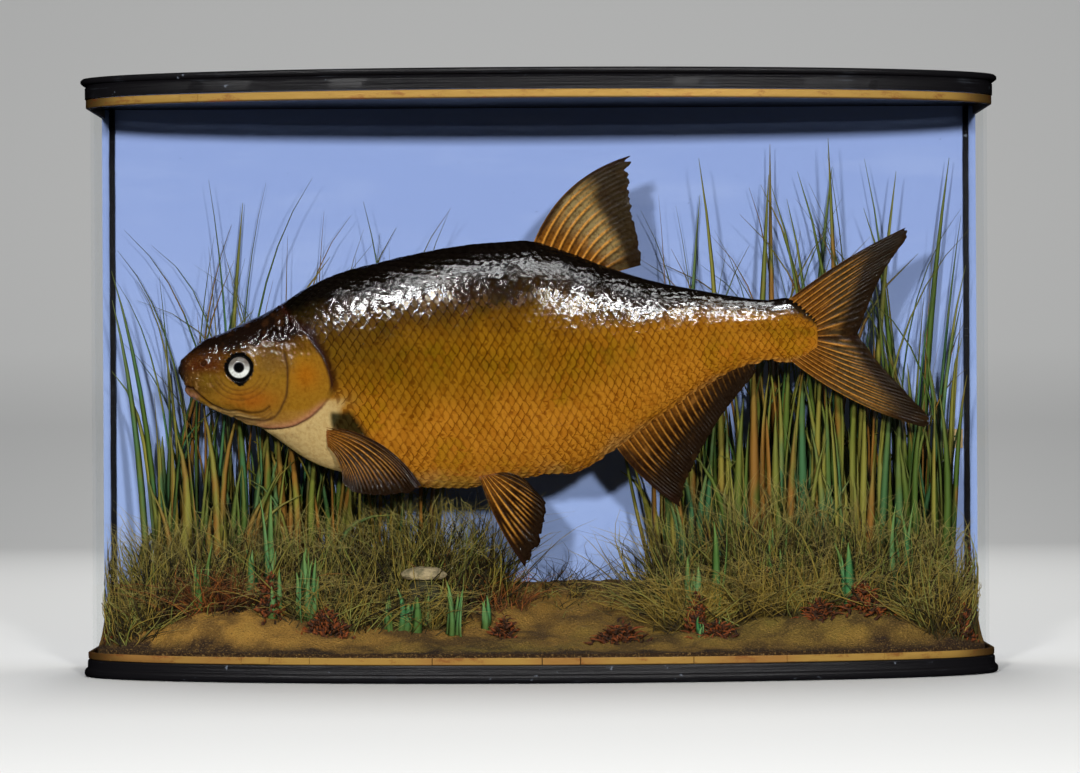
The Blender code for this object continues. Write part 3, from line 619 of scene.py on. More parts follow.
class Look(Tree):
    """A material built on one Principled shader."""

    def __init__(self, name, **uniform):
        self.material = bpy.data.materials.new(name)
        self.material.use_nodes = True
        super().__init__(self.material.node_tree)
        self.shader = self.tree.nodes["Principled BSDF"]
        self.set(**uniform)

    def set(self, **values):
        """Sets the shader's inputs; base_color stands for Base Color and so on."""
        for key, value in values.items():
            self.plug(self.shader.inputs[key.replace("_", " ").title().replace("Ior", "IOR")], value)
        return self

    def place(self, stretch=(1, 1, 1)):
        """Where a point is on the finished piece, squeezed along each axis."""
        spot = self.node("ShaderNodeTexCoord", output="Object")
        return spot * stretch if stretch != (1, 1, 1) else spot

    def noise(self, scale, detail=2.0, stretch=(1, 1, 1), rough=0.5):
        """Soft random values about one half; scale is how many lumps there are in a metre."""
        return self.node("ShaderNodeTexNoise", {"Vector": self.place(stretch), "Scale": scale,
                                                "Detail": detail, "Roughness": rough})

    def over(self, base, *layers, blend="MIX"):
        """A colour with others laid over it, each with its share. A tuple is a screen colour."""
        for share, colour in layers:
            a, b = (linear(*c) if isinstance(c, tuple) else c for c in (base, colour))
            base = self.node("ShaderNodeMix", {"Factor": share, "A": a, "B": b}, output="Result",
                             data_type="RGBA", blend_type=blend, clamp_factor=True)
        return base

    def tinted(self, base, *layers):
        """A colour times others, each with its share."""
        return self.over(base, *layers, blend="MULTIPLY")

    def attribute(self, name, output="Fac"):
        return self.node("ShaderNodeAttribute", output=output, attribute_name=name)

    def bump(self, height, distance, strength=1.0):
        """Fine relief, in metres. Gives back the finished material."""
        normal = self.node("ShaderNodeBump", {"Height": height, "Distance": distance, "Strength": strength})
        return self.set(normal=normal).material


# ---- materials ----
def ebony_look(case):
    look = Look("ebonised_wood", specular_ior_level=0.3)
    streaks, lumps = look.noise(14, 5, (1, 1, 60), 0.65), look.noise(55, 4)
    # Pale streaks: scratches and dust, and a painted sheen along the boards.
    marked = look.step(streaks * 0.6 + lumps * 0.4, 0.56, 0.74)
    chips = look.step(look.noise(160, 3), 0.70, 0.76)
    look.set(base_color=look.over(case.ebony, (marked * 0.2, case.dust), (chips * 0.5, case.dust)),
             roughness=streaks * 0.35 + 0.2)
    return look.bump(streaks + lumps * 0.7, 0.0007, 0.45)


def gilt_look(case):
    """Gold leaf, duller on the base slip, darker towards the ends, with painted shade along the top slip's
    lower edge.
    """
    look = Look("gilt", metallic=0.4)
    patches, fine = look.noise(60, 5, (1, 1, 2.5), 0.7), look.noise(900, 3)
    marked = look.step(patches + fine * 0.2, 0.62, 0.78)
    across, _, high = look.parts(look.place())
    tone = look.step(look.noise(9, 2, (1, 1, 0)), 0.45, 0.6)
    # Painted shade along the top slip's lower edge; the ends are darker too.
    shade = look.step(high, 0.3832, 0.3818) * look.step(high, 0.1, 0.3)
    ends = look.step(look.math("ABSOLUTE", across), 0.27, 0.3)
    shade = look.math("MAXIMUM", shade * 0.8, ends * 0.8)
    look.set(base_color=look.over(case.gold, (tone * look.step(high, 0.2, 0.1) * 0.5, (150, 92, 52)),
                                  (shade, (50, 30, 16)), (marked * 0.55, case.bole)),
             roughness=fine * 0.35 + 0.22)
    return look.bump(patches + fine * 0.3, 0.0006, 0.6)


def iron_look():
    """Dark wrought iron, a little rusty."""
    look = Look("wrought_iron", metallic=0.7)
    rust = look.step(look.noise(300, 4, rough=0.65), 0.46, 0.62)
    look.set(base_color=look.over((52, 48, 46), (rust, (92, 52, 30))), roughness=rust * 0.4 + 0.4)
    return look.bump(look.noise(700, 3), 0.0004, 0.5)


def glass_look(case):
    """Clear glass: the light goes through, with a thin shine."""
    look = Look("case_glass")
    clear = look.node("ShaderNodeBsdfTransparent", {"Color": (0.985, 0.99, 0.99)})
    shine = look.node("ShaderNodeBsdfGlossy", {"Roughness": 0.04})
    mixed = look.node("ShaderNodeMixShader", {0: case.shine, 1: clear, 2: shine})
    look.plug(look.tree.nodes["Material Output"].inputs["Surface"], mixed)
    look.tree.nodes.remove(look.shader)
    return look.material


def board_look(case):
    look = Look("painted_board", roughness=0.75)
    high = look.parts(look.place())[2]
    strokes = look.noise(9, 6, (1, 1, 5), 0.6)
    # Darker towards the top, as painted shade under the top board.
    look.set(base_color=look.over(
        case.board_low, (look.step(high, 0.06, 0.36), case.board_high),
        (look.step(strokes, 0.45, 0.75) * 0.14, (186, 200, 232)),
        (look.step(look.noise(7, 3), 0.5, 0.8) * 0.12, (104, 124, 190)),
        (look.step(look.noise(420, 2), 0.74, 0.8) * 0.5, (70, 74, 96))))
    return look.bump(strokes, 0.0006, 0.4)


def paper_look(case):
    look = Look("label_paper", roughness=0.85)
    stain = look.noise(260, 4)
    look.set(base_color=look.over(case.paper, (look.step(stain, 0.4, 0.75) * 0.5, (120, 92, 56))))
    return look.bump(stain, 0.0002, 0.4)


def earth_look():
    """The ground: its paint is broken up by grains."""
    look = Look("groundwork", roughness=0.95)
    grain = look.noise(700, 4, rough=0.7)
    grit = look.node("ShaderNodeTexVoronoi", {"Vector": look.place(), "Scale": 900}, output="Distance")
    look.set(base_color=look.over(look.attribute("paint", "Color"),
                                  (look.step(grain, 0.5, 0.75) * 0.6, (194, 152, 84)),
                                  (look.step(grain, 0.5, 0.25) * 0.7, (34, 22, 12))))
    return look.bump(grain + grit * 0.5, 0.0022, 0.9)


def stone_look(name, pale, dark):
    look = Look(name, roughness=0.85)
    coarse, fine = look.noise(120, 4, rough=0.65), look.noise(900, 3)
    look.set(base_color=look.over(pale, (look.step(coarse, 0.42, 0.66), dark)))
    return look.bump(coarse + fine * 0.4, 0.0016, 0.7)


def plant_look(name, plant, ground):
    """Blades: shade goes from dark to pale, and reach from the foot's colour to the tip's. odd is rarer."""
    dark, pale, tip, foot, odd = (getattr(ground, c) if isinstance(c, str) else c for c in plant[:5])
    look = Look(name, roughness=plant.gloss)
    shade, reach = look.attribute("shade"), look.attribute("reach")
    mottle = look.noise(90, 4, (1, 1, 0.35)) - 0.5
    pick = look.math("FRACT", shade * 7.3)
    odd_parts = look.step(look.noise(38, 2, (1, 1, 0.5)), 0.38, 0.54)
    foot_parts = look.step(look.noise(47, 2, (1, 1, 0.4)), 0.4, 0.54)
    # Near its foot a paler blade takes the foot's colour: the dry feet of the reeds, and painted shade on the
    # grass, stems and moss.
    low = look.step(reach + mottle * 0.5, 0.42, 0.05)
    look.set(base_color=look.over(
        dark, (look.step(shade + mottle * 0.9, 0.15, 0.85), pale),
        (look.step(pick, 0.62, 0.68) * odd_parts * 0.9, odd),
        (look.step(pick, 0.32, 0.26) * foot_parts * 0.85, foot),
        (look.step(reach, 0.6, 1.0) * 0.7, tip), (low * look.step(shade, 0.1, 0.6) * 0.85, foot)))
    return look.bump(look.noise(600, 3, (1, 1, 0.12)), 0.0006, 0.5)


def skin_look(fish):
    look = Look("bream_skin", specular_ior_level=fish.varnish)
    mottle, fine, wrinkle = look.noise(420, 4, rough=0.65), look.noise(1500, 3), look.noise(240, 3)
    look.set(base_color=look.tinted(look.attribute("paint", "Color"),
                                    (look.step(mottle, 0.55, 0.4) * 0.3, (200, 172, 140)),
                                    (look.step(wrinkle, 0.42, 0.28) * 0.3, (150, 110, 80))),
             roughness=fine * 0.1 + 0.02)
    return look.bump(wrinkle + mottle * 0.35, 0.0010, 0.6)


def scale_look(fish):
    """One scale: the skin's paint, with a dark line along its free edge, stronger below as painted shade, a
    painted shadow over its root, and its own tint.
    """
    look = Look("bream_scales", specular_ior_level=fish.varnish)
    edge, tint = look.attribute("edge"), look.attribute("tint")
    fine, wrinkle = look.noise(1700, 3), look.noise(230, 3)
    olive = look.step(look.noise(26, 3), 0.5, 0.62) * look.step(tint, 0.2, 0.5)
    strong = look.step(look.noise(34, 2), 0.36, 0.62) * 0.45 + 0.45
    look.set(base_color=look.tinted(
        look.attribute("paint", "Color"), (olive * 0.5, (208, 226, 120)),
        (look.step(tint, 0.6, 0.0) * 0.4, (214, 190, 150)),
        (look.step(wrinkle, 0.46, 0.3) * 0.4, (196, 162, 120)),
        # A painted shadow over the root, where the scale in front lies on it; then the free edge's dark line,
        # drawn stronger on its lower half as painted shade.
        (look.step(edge, 0.62, 0.42) * 0.6, (150, 112, 84)),
        (look.step(edge + (fine - 0.5) * 0.2, 0.84, 0.98) * strong, (118, 80, 60))),
        roughness=fine * 0.12 + 0.03)
    return look.bump(wrinkle + fine * 0.12, 0.0009, 0.36)


def fin_look():
    look = Look("bream_fins", specular_ior_level=0.14)
    mottle = look.noise(500, 4, rough=0.65)
    look.set(base_color=look.tinted(look.attribute("paint", "Color"),
                                    (look.step(mottle, 0.55, 0.35) * 0.6, (150, 120, 90))),
             roughness=mottle * 0.2 + 0.03)
    return look.bump(mottle, 0.0006, 0.5)


def eye_look():
    look = Look("eye_glass", coat_weight=0.8, coat_roughness=0.01, roughness=0.5, specular_ior_level=0.0)
    return look.set(base_color=look.attribute("paint", "Color")).material


# ---- the case ----
def bow_path(grow):
    """From the left back corner round the front to the right back corner, this far outside the glass."""
    half = GLASS_HALF + grow
    angle = np.linspace(0, math.pi, BOW_STEPS + 1)
    front = np.stack([-half * np.cos(angle), -(BOW + grow) * np.sin(angle) - CENTRE_Y], 1)
    sides = np.linspace(BACK - GAP, -CENTRE_Y, SIDE_STEPS + 1)[:-1]
    left, right = (np.stack([np.full(SIDE_STEPS, way * half), sides[::-way]], 1) for way in (-1, 1))
    return np.concatenate([left, front, right])


def rounded(profile, by):
    """A moulding's profile with its corners cut back a little."""
    points = np.array(profile, float)
    done = [points[0]]
    for before, here, after in zip(points, points[1:], points[2:]):
        for other in (before, after):
            way = other - here
            done.append(here + way * min(0.4, by / np.linalg.norm(way)))
    return done + [points[-1]]


def build_moulding(name, profile, look):
    """A board with a moulded edge, a little chipped and uneven."""
    rings = []
    for high, grow in rounded(profile, 0.35):
        line = bow_path(grow * MM)
        wear = 0.12 * Lumps(0).at(line[:, 0] / MM, line[:, 1] / MM, high * 8, 5, 3) * MM
        line = line * (1 + wear[:, None] / GLASS_HALF)
        line[[0, -1], 1] = BACK + BOARD
        rings.append(np.column_stack([line, np.full(len(line), high * MM)]))
    return loft(name, rings, look)


def strip(name, near, far, low, high, look, part=(0.0, 1.0), soften=0.0):
    """A band that follows the bow over part of its length, with its outer corners cut back."""
    share = np.linspace(0, 1, len(bow_path(near)))
    at = np.linspace(*part, max(3, int((part[1] - part[0]) * len(share) * 1.5)))
    inner, outer = (np.stack([np.interp(at, share, values) for values in bow_path(grow).T], 1)
                    for grow in (near, far))
    cut = soften / (far - near)
    section = ((0, low), (1 - cut, low), (1, low + soften), (1, high - soften), (1 - cut, high), (0, high))
    rings = [[(*(p + (q - p) * out), z) for out, z in section] for p, q in zip(inner, outer)]
    return loft(name, rings, look)


def build_slip(name, low, high, look, piece, seed, loose):
    """A gilt slip in pieces, with dark joints where it has cracked."""
    draw = random.Random(seed)
    joint = 0.15 * MM
    parts, at = [], 0.0
    while at < 1:
        end = min(1.0, at + piece * draw.uniform(0.35, 1.8) / SLIP_LENGTH)
        lift = draw.uniform(-0.12, 0.12) * loose * MM
        out = draw.uniform(0, 0.2) * loose * MM
        parts.append(strip(name, SLIP_GROW + out * 0.5, SLIP_GROW + SLIP + out, low + joint + lift,
                           high - joint + lift, look, (at, end - 0.0006), 0.5 * MM))
        at = end
    return join(name, parts)


def build_back_board(look):
    """The painted board behind, a little wavy."""
    low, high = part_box("back_board")
    x, z = np.meshgrid(np.linspace(low.x, high.x, 90), np.linspace(low.z, high.z, 60), indexing="ij")
    inside = smooth(np.minimum(x - low.x, high.x - x), 0.004, 0.03)
    front = low.y + 0.25 * MM * inside * Lumps(1).at(x / MM, 0, z / MM, 60, 2)
    near, far = (np.stack([x, y, z], -1) for y in (front, np.full_like(x, high.y)))
    return slab("painted_back_board", near, far, look)


def build_label(look):
    """A blank paper label, curled off the board at its corners."""
    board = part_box("paper_label")[1].y - 0.1 * MM
    u, v = np.meshgrid(np.linspace(-1, 1, 24), np.linspace(-1, 1, 22), indexing="ij")
    edge = 1 + 0.02 * Lumps(3).at(u * 9, v * 9, 0, 2, 3)
    x, z = ((at + way * edge * long / 2) * MM for at, way, long in zip(LABEL_AT, (u, v), LABEL_SIZE))
    y = board - 0.9 * MM * np.abs(u * v) ** 3
    return slab("aged_label", np.stack([x, y - 0.3 * MM, z], -1), np.stack([x, y, z], -1), look)


def build_bead(name, node, look):
    """A corner bead, rounded on its free edge."""
    low, high = (np.array(end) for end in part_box(node))
    z = np.linspace(low[2], high[2], 60)[:, None]
    turn = np.linspace(0, 2 * math.pi, 12, endpoint=False)
    x, y = ((low[k] + high[k]) / 2 + np.copysign(np.abs(v) ** 0.45, v) * (high[k] - low[k]) / 2
            for k, v in enumerate((np.cos(turn), np.sin(turn))))
    x = x + 0.1 * MM * Lumps(2).at(z / MM, 0, 0, 9, 2)
    return loft(name, np.stack(np.broadcast_arrays(x, y, z), -1), look)


def build_post(node, look):
    """An iron rod with hammered sides, from the back board to the fish."""
    low, high = (np.array(end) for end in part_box(node))
    y = np.linspace(low[1], high[1], 24)[:, None]
    turn = np.linspace(0, 2 * math.pi, 18, endpoint=False)[None, :]
    out = 0.5 * (1 - 0.05 * np.abs(Lumps(7).at(y / MM, turn * 2, 0, 3, 2)))
    x, z = ((low[k] + high[k]) / 2 + v * out * (high[k] - low[k])
            for k, v in ((0, np.cos(turn)), (2, np.sin(turn))))
    return loft("iron_" + node, np.stack(np.broadcast_arrays(x, y, z), -1), look)


# ---- the ground ----
def ground_edge(x):
    """The front edge of the ground, just inside the glass."""
    return -(BOW - GLASS - 2 * GAP) * np.sqrt(np.maximum(0.0, 1 - (x / GROUND_HALF) ** 2)) - CENTRE_Y


def ground_height(x, y):
    """Height of the ground in metres: a slope up to the back board, with mounds on it."""
    front = ground_edge(x)
    t = np.clip((y - front) / (BACK - GAP - front), 0, 1)
    height = GROUND_FRONT + (GROUND_BACK - GROUND_FRONT) * soft(t)
    for at_x, at_y, tall, wide, deep in MOUNDS:
        across, back = (x / MM - at_x) / wide, (y / MM - at_y) / deep
        height = height + np.minimum(1.0, 8 * t) * tall * np.exp(-(across**2) - back**2) * (1 - t)
    return height * MM


def build_ground(ground, look):
    """The ground with its lumps and grains, coloured as sand, peat and lichen."""
    lumps = Lumps(4)
    columns, rows = 260, 80
    x = -GROUND_HALF * np.cos(np.linspace(0, math.pi, columns))[:, None] * np.ones(rows)
    t = np.linspace(0, 1, rows)[None, :] * np.ones((columns, 1))
    front = ground_edge(x)
    y = front + (BACK - GAP - front) * t
    xm, ym = x / MM, y / MM
    inside = smooth(t, 0, 0.06) * smooth(t, 1, 0.96) * smooth(np.abs(x), GROUND_HALF, GROUND_HALF - 0.012)
    rough = lumps.at(xm, ym, 0, 16, 4) * 1.9 + np.abs(lumps.at(xm, ym, 9, 5, 2)) * 1.1
    z = ground_height(x, y) + rough * inside * MM
    top = np.stack([x, y, z], -1).reshape(-1, 3)
    rim = rim_of(columns, rows)
    low = top[rim] * (1, 1, 0) + (0, 0, BASE_TOP + GAP)
    foot = np.arange(len(rim)) + len(top)
    faces = grid_faces(columns, rows) + wall(rim, foot) + [foot.tolist()]
    made = mesh_object("ground", np.concatenate([top, low]), faces, look, 60)
    mottle = lumps.at(xm, ym, 30, 14, 3)
    dry = spot_at(xm, ym, (-212, -30), (75, 30)) + 0.35 * (mottle > 0.2)
    # Peat along the glass and in patches.
    peat_share = smooth(t, 0.12, 0.0) + smooth(mottle, 0.1, -0.7) * 0.6
    green = spot_at(xm, ym, (150, -20), (120, 40)) + smooth(mottle, 0.3, 0.9) * 0.4
    green = green + spot_at(xm, ym, (-30, -62), (75, 16))
    sand, peat = np.array(ground.sand), np.array(ground.peat)
    colours = laid(sand * 0.55 + peat * 0.45, (dry, sand), (green * 0.55, ground.lichen), (peat_share, peat))
    paint(made, np.concatenate([colours.reshape(-1, 3), np.tile(peat, (len(low), 1))]))
    return made


def build_stone(name, half, place, look, squash, spread=0.0, top=None):
    """A worn stone, flat below; with top, its upper part is cut level."""
    points, faces = ball(bmesh.ops.create_icosphere, subdivisions=5)
    points *= (1 + 0.09 * Lumps(5).at(*(points.T * 3), 1.6, 4))[:, None]
    points[:, 2] = np.maximum(points[:, 2], -1 + squash)
    points[:, :2] *= (1 - spread * np.minimum(points[:, 2], 0.5))[:, None]
    points = (points * half + place) * MM
    if top:
        points[:, 2] = np.minimum(points[:, 2], top * MM)
    return mesh_object(name, points, faces, look, 60)


# ---- blades ----
def blade_tree():
    """Geometry nodes that grow a bent, tapered blade from each point of a mesh.

    Each point says where its tip is (tip), how far its middle bends aside (sag) and its tip over (curl), which
    way it faces (face), how wide it is (width) and what colour it takes (shade).
    """
    tree = Growth("blades", Steps="Int", Sides="Int", Flatness="Float", Taper="Float")
    make, named, get = tree.make, tree.named, tree.get
    line = make("CurvePrimitiveLine", End=(0, 0, 1))
    line = make("ResampleCurve", Curve=line, Count=get["Steps"])
    curves = tree.realize(make("InstanceOnPoints", Points=get["Points"], Instance=line))
    curves = tree.store(curves, "reach", make("SplineParameter"))
    reach = named("reach", "FLOAT")
    spot = named("root") + named("tip") * reach + named("sag") * (reach * (1 - reach) * 4)
    curves = make("SetPosition", Geometry=curves, Position=spot + named("curl") * reach**4)
    curves = make("SetCurveNormal", Curve=curves, Normal=named("face"), mode={"mode": "FREE"})
    wide = named("width", "FLOAT") * (1 - reach ** get["Taper"] * 0.94)
    profile = make("CurvePrimitiveCircle", Resolution=get["Sides"], Radius=0.5)
    flat = tree.node("ShaderNodeCombineXYZ", {0: get["Flatness"], 1: 1, 2: 1})
    profile = make("Transform", Geometry=profile, Scale=flat)
    blades = make("CurveToMesh", Curve=curves, Profile_Curve=profile, Scale=wide, Fill_Caps=True)
    return tree.finish(tree.realize(blades))


def grown(name, points, tree, spare, **inputs):
    """The plain mesh that a tree makes from a mesh of points."""
    modifier = points.modifiers.new("grow", "NODES")
    modifier.node_group = tree
    sockets = {s.name: s.identifier for s in tree.interface.items_tree if s.in_out == "INPUT"}
    for key, value in inputs.items():
        modifier[sockets[key]] = value
    graph = bpy.context.evaluated_depsgraph_get()
    mesh = bpy.data.meshes.new_from_object(points.evaluated_get(graph))
    mesh.name = name
    for attribute in spare:
        if attribute in mesh.attributes:
            mesh.attributes.remove(mesh.attributes[attribute])
    bpy.data.objects.remove(points)
    return link(name, mesh)


def point_mesh(name, places, **attributes):
    """A mesh of loose points that carry these values."""
    mesh = bpy.data.meshes.new(name)
    mesh.from_pydata([tuple(p) for p in places], [], [])
    for key, values in attributes.items():
        values = np.array(values, np.float32)
        kind, field = ("FLOAT", "value") if values.ndim == 1 else ("FLOAT_VECTOR", "vector")
        mesh.attributes.new(key, kind, "POINT").data.foreach_set(field, values.ravel())
    return link(name, mesh)


Blade = namedtuple("Blade", "root tip sag curl face width shade")


def room_for(point):
    """The nearest place to this one that is clear of the glass and the back board."""
    x = np.clip(point[0], -ROOM_HALF, ROOM_HALF)
    front = float(ground_edge(x)) + GLASS_CLEAR
    return np.array([x, np.clip(point[1], front, BACK - BOARD_CLEAR), point[2]])


def blade(root, tip, sag, curl, width, shade, turn):
    """One blade, bent back where it would pass the glass or the board. turn is how far it faces aside."""
    tip = room_for(root + tip) - root
    curl = room_for(root + tip + curl) - root - tip
    sag = room_for(root + tip / 2 + sag) - root - tip / 2
    face = np.array([math.sin(turn), -math.cos(turn), 0.0])
    return Blade(root, tip, sag, curl, face, width, float(np.clip(shade, 0, 1)))


def patch_blades(patch, order, growth):
    """The blades of one patch of growth."""
    draw = random.Random(SEED * 100 + order)
    blades = []
    for _ in range(int(patch.count * growth)):
        x = patch.x + draw.gauss(0, 0.55) * patch.wide
        y = patch.y + draw.gauss(0, 0.55) * patch.deep
        x, y, _ = room_for(np.array([x, y, 0]) * MM)
        root = np.array([x, y, float(ground_height(x, y)) - 0.5 * MM])
        tall = (patch.low + (patch.high - patch.low) * draw.random() ** 1.6) * MM
        aside = (x / MM - patch.x) / patch.wide
        if patch.look == "moss":
            # Moss is a heap of crumbs, highest in the middle.
            far = math.hypot(aside, (y / MM - patch.y) / patch.deep)
            root[2] += 1.4 * patch.high * MM * draw.random() * max(0.0, 1 - 0.7 * far)
            tall = draw.uniform(2.5, 5.5) * MM
        lean = np.array([draw.gauss(0, 1) + aside * 0.7, draw.gauss(0, 0.6), 0]) * patch.lean * tall
        rise = tall * (1 - 0.35 * min(1, np.linalg.norm(lean) / tall))
        curl = tall * (0.01 + 0.34 * patch.lean)
        sag = np.array([draw.gauss(0, 1), draw.gauss(0, 0.3), abs(draw.gauss(0, 0.5))]) * curl
        hook = np.array([draw.gauss(0, 1), draw.gauss(0, 0.4), -abs(draw.gauss(0, 0.7))]) * curl
        width = patch.thick * draw.uniform(0.7, 1.5) * MM
        blades.append(blade(root, lean + (0, 0, rise), sag, hook, width, patch.shade + draw.gauss(0, 0.4),
                            draw.gauss(0, 0.6)))
    return blades


def reed_blades(growth):
    """The reeds of the table, and the clumps round them."""
    draw = random.Random(SEED)
    near, far = REED_LANES
    blades = []

    def add(foot, tip, height, wide, lane, bend):
        x, y = foot * MM, lane * MM - CENTRE_Y
        root = np.array([x, y, float(ground_height(x, y)) - MM])
        offset = np.array([(tip - foot) * MM, draw.uniform(-6, 6) * MM, height * MM - root[2]])
        sag = np.array([-0.17 * offset[0] + bend * MM, 0, 0])
        bent = height * MM * abs(draw.gauss(0, 0.12)) * (wide < 5.5)
        curl = np.array([math.copysign(bent, offset[0] + bend * MM), draw.gauss(0, 0.3) * bent, -0.5 * bent])
        blades.append(blade(root, offset, sag, curl, wide * MM, draw.uniform(0, 1), draw.gauss(0, 0.5)))

    for order, (foot, tip, height, wide) in enumerate(REEDS):
        lane = near + (far - near) * ((order * 5) % len(REEDS)) / (len(REEDS) - 1) + 0.6
        add(foot, tip, height, wide * 0.72, lane, draw.gauss(0, 1.5))
    for x, wide, spread, low, high, thick, count in CLUMPS:
        for _ in range(int(round(count * growth))):
            aside = draw.uniform(-1, 1)
            foot = x + aside * wide
            tip = foot + (0.6 * aside + 0.6 * draw.gauss(0, 1)) * spread
            height = low + (high - low) * draw.random() ** 1.3
            lane = draw.uniform(near, far) if thick < 6 else draw.uniform(near - 10, far - 12)
            add(foot, tip, height, thick * draw.uniform(0.75, 1.4), lane, draw.gauss(0, 7))
    return blades


def grow_blades(name, blades, tree, look, plant):
    columns = {key: np.array([getattr(b, key) for b in blades]) for key in Blade._fields}
    points = point_mesh(name + "_points", columns["root"], **columns)
    return grown(name, points, tree, ("root", "tip", "sag", "curl", "face", "width"), Material=look,
                 Steps=plant.steps, Sides=plant.sides, Flatness=plant.flatness, Taper=plant.taper)


# ---- the fish's body ----
FISH_PLACE = Matrix.Translation(Vector(SNOUT) * MM) @ Matrix.Rotation(-TILT, 4, "Y")  # its frame in the case's


def in_case(points):
    """Points in the fish's frame, in mm, as points in the case's, in metres."""
    turn = np.array(FISH_PLACE)
    return np.asarray(points) * MM @ turn[:3, :3].T + turn[:3, 3]


def body_size(along):
    """Top, bottom and half width of the body in mm, smoothed through the stations."""
    return through([s[0] for s in STATIONS], [s[1:] for s in STATIONS], along).T


class Body:
    """One half of the body as a grid, rings by columns from back to belly, evenly spaced by girth."""

    def __init__(self, places, columns, inset):
        self.places, self.columns = places, columns
        top, bottom, half = body_size(places)
        top, bottom, half = top - inset, bottom + inset, half - inset
        middle = (bottom + WIDEST * (top - bottom))[:, None]
        turn = np.linspace(0, math.pi, 500)
        across, rise = np.sin(turn), np.cos(turn)
        out = half[:, None] * np.where(rise > 0, across**BACK_POWER, across**BELLY_POWER)
        up = middle + np.where(rise > 0, top[:, None] - middle, middle - bottom[:, None]) * rise
        steps = np.hypot(np.diff(out), np.diff(up))
        girth = np.concatenate([np.zeros((len(places), 1)), np.cumsum(steps, 1)], 1)
        self.girth = girth[:, -1]
        share = np.linspace(0, 1, columns + 1)
        self.out, self.up = (np.stack([np.interp(share * g[-1], g, v) for g, v in zip(girth, values)])
                             for values in (out, up))
        self.out[:, [0, -1]] = 0
        self.along = places[:, None] * np.ones(columns + 1)
        self.grid = np.stack([self.along, self.out, self.up], -1)
        normal = np.cross(np.gradient(self.grid, places, axis=0), np.gradient(self.grid, axis=1))
        normal *= np.sign(normal[len(places) // 2, columns // 2, 1])
        normal[:, [0, -1], 1] = 0
        self.normal = unit(normal)

    def read(self, values, along, down):
        """Values of the grid at places: along in mm and down as a share of the girth."""
        row = np.interp(along, self.places, np.arange(len(self.places)))
        column = np.clip(down, 0, 1) * self.columns
        i = np.minimum(row.astype(int), len(self.places) - 2)
        j = np.minimum(column.astype(int), self.columns - 1)
        a, b = row - i, column - j
        if values.ndim == 3:
            a, b = a[..., None], b[..., None]
        return ((values[i, j] * (1 - b) + values[i, j + 1] * b) * (1 - a)
                + (values[i + 1, j] * (1 - b) + values[i + 1, j + 1] * b) * a)


def unit(vectors):
    return vectors / np.linalg.norm(vectors, axis=-1, keepdims=True)


class Side:
    """Places on one side of the fish, and what its relief and its paint both need to know of them."""

    def __init__(self, along, up, side, lumps):
        self.along, self.up, self.side, self.lumps = along, up, side, lumps
        self.eye = np.hypot(along - EYE_AT[0], up - EYE_AT[1])
        self.nostril = np.hypot(along - NOSTRIL[0], up - NOSTRIL[1])
        self.gill, self.behind = path_distance(along, up, GILL_EDGE, 60)
        self.cover, self.inside = path_distance(along, up, PREOPERCLE)
        self.rings = smooth(up, -8, -14) * smooth(along, 74, 62)  # where folds run round the eye

    def near(self, path, width):
        return ridge(path_distance(self.along, self.up, path)[0], width)

    def mottle(self, layer, scale, octaves):
        """Soft random values of this side's own; layer keeps them apart."""
        return self.lumps.at(self.along, self.side * layer, self.up, scale, octaves)


def head_relief(at):
    """How far the skin stands above the plain body, in mm, from the bones and folds under it."""
    along, up, near = at.along, at.up, at.near
    behind = at.behind > 0
    flap = np.where(behind, -0.9 * smooth(at.gill, 3.5, 0.6), 1.1 * smooth(at.gill, 14, 1.0))
    flap *= smooth(up, 26, 14)
    relief = flap - 0.7 * ridge(at.cover, 0.9) + 0.45 * ridge(at.cover - 2.4, 1.6) * (at.inside > 0)
    for path, width, rise in ((CHEEK_LOW, 1.0, -0.7), (JAW_FOLD, 0.9, -0.9), (MOUTH, 0.9, -1.2),
                              (SECOND_FOLD, 0.9, -0.8), (LOWER_LIP, 1.5, 0.7),
                              *((fold, 0.6, -0.35) for fold in CHEEK_FOLDS)):
        relief = relief + rise * near(path, width)
    beads = at.mottle(3, 0.9, 2)
    relief = relief + (0.8 + 0.7 * beads) * ridge(at.eye - 10.4, 1.2) - 3.2 * smooth(at.eye, 9.6, 8.4)
    for ring, deep in zip(EYE_RINGS, (0.4, 0.45, 0.35)):
        relief = relief - deep * ridge(at.eye - ring, 0.7) * at.rings
    relief = relief + 0.8 * ridge(at.nostril - 2.6, 0.9) - 0.9 * smooth(at.nostril, 1.9, 1.0)
    snout = smooth(along, 20, 4) * smooth(up, -4, -9)
    relief = relief - 0.4 * snout * (0.5 + 0.5 * np.cos(along * 1.9))
    nose = smooth(along, 34, 24) * smooth(up, -22, -14)
    relief = relief + 0.5 * nose * np.maximum(0, at.mottle(7, 2.2, 2))
    head = smooth(at.gill * np.where(behind, 1, -1), 2, -2)
    warts = np.maximum(0, at.mottle(5, 1.7, 2) - 0.25) * 0.9 * smooth(along, 62, 70) * smooth(up, -12, 0)
    return (relief + at.mottle(9, 3.2, 3) * 0.16 + warts) * head + flap * (1 - head)


def throat_share(along, up):
    """1 on the bare skin behind the lower gill edge, 0 where the scales are."""
    limit = np.interp(up, (-90, -74, -62, -46, -36, -29), (115, 106, 103, 104, 109, 113))
    return smooth(limit - along, -1.5, 1.5) * smooth(up, -27, -31)


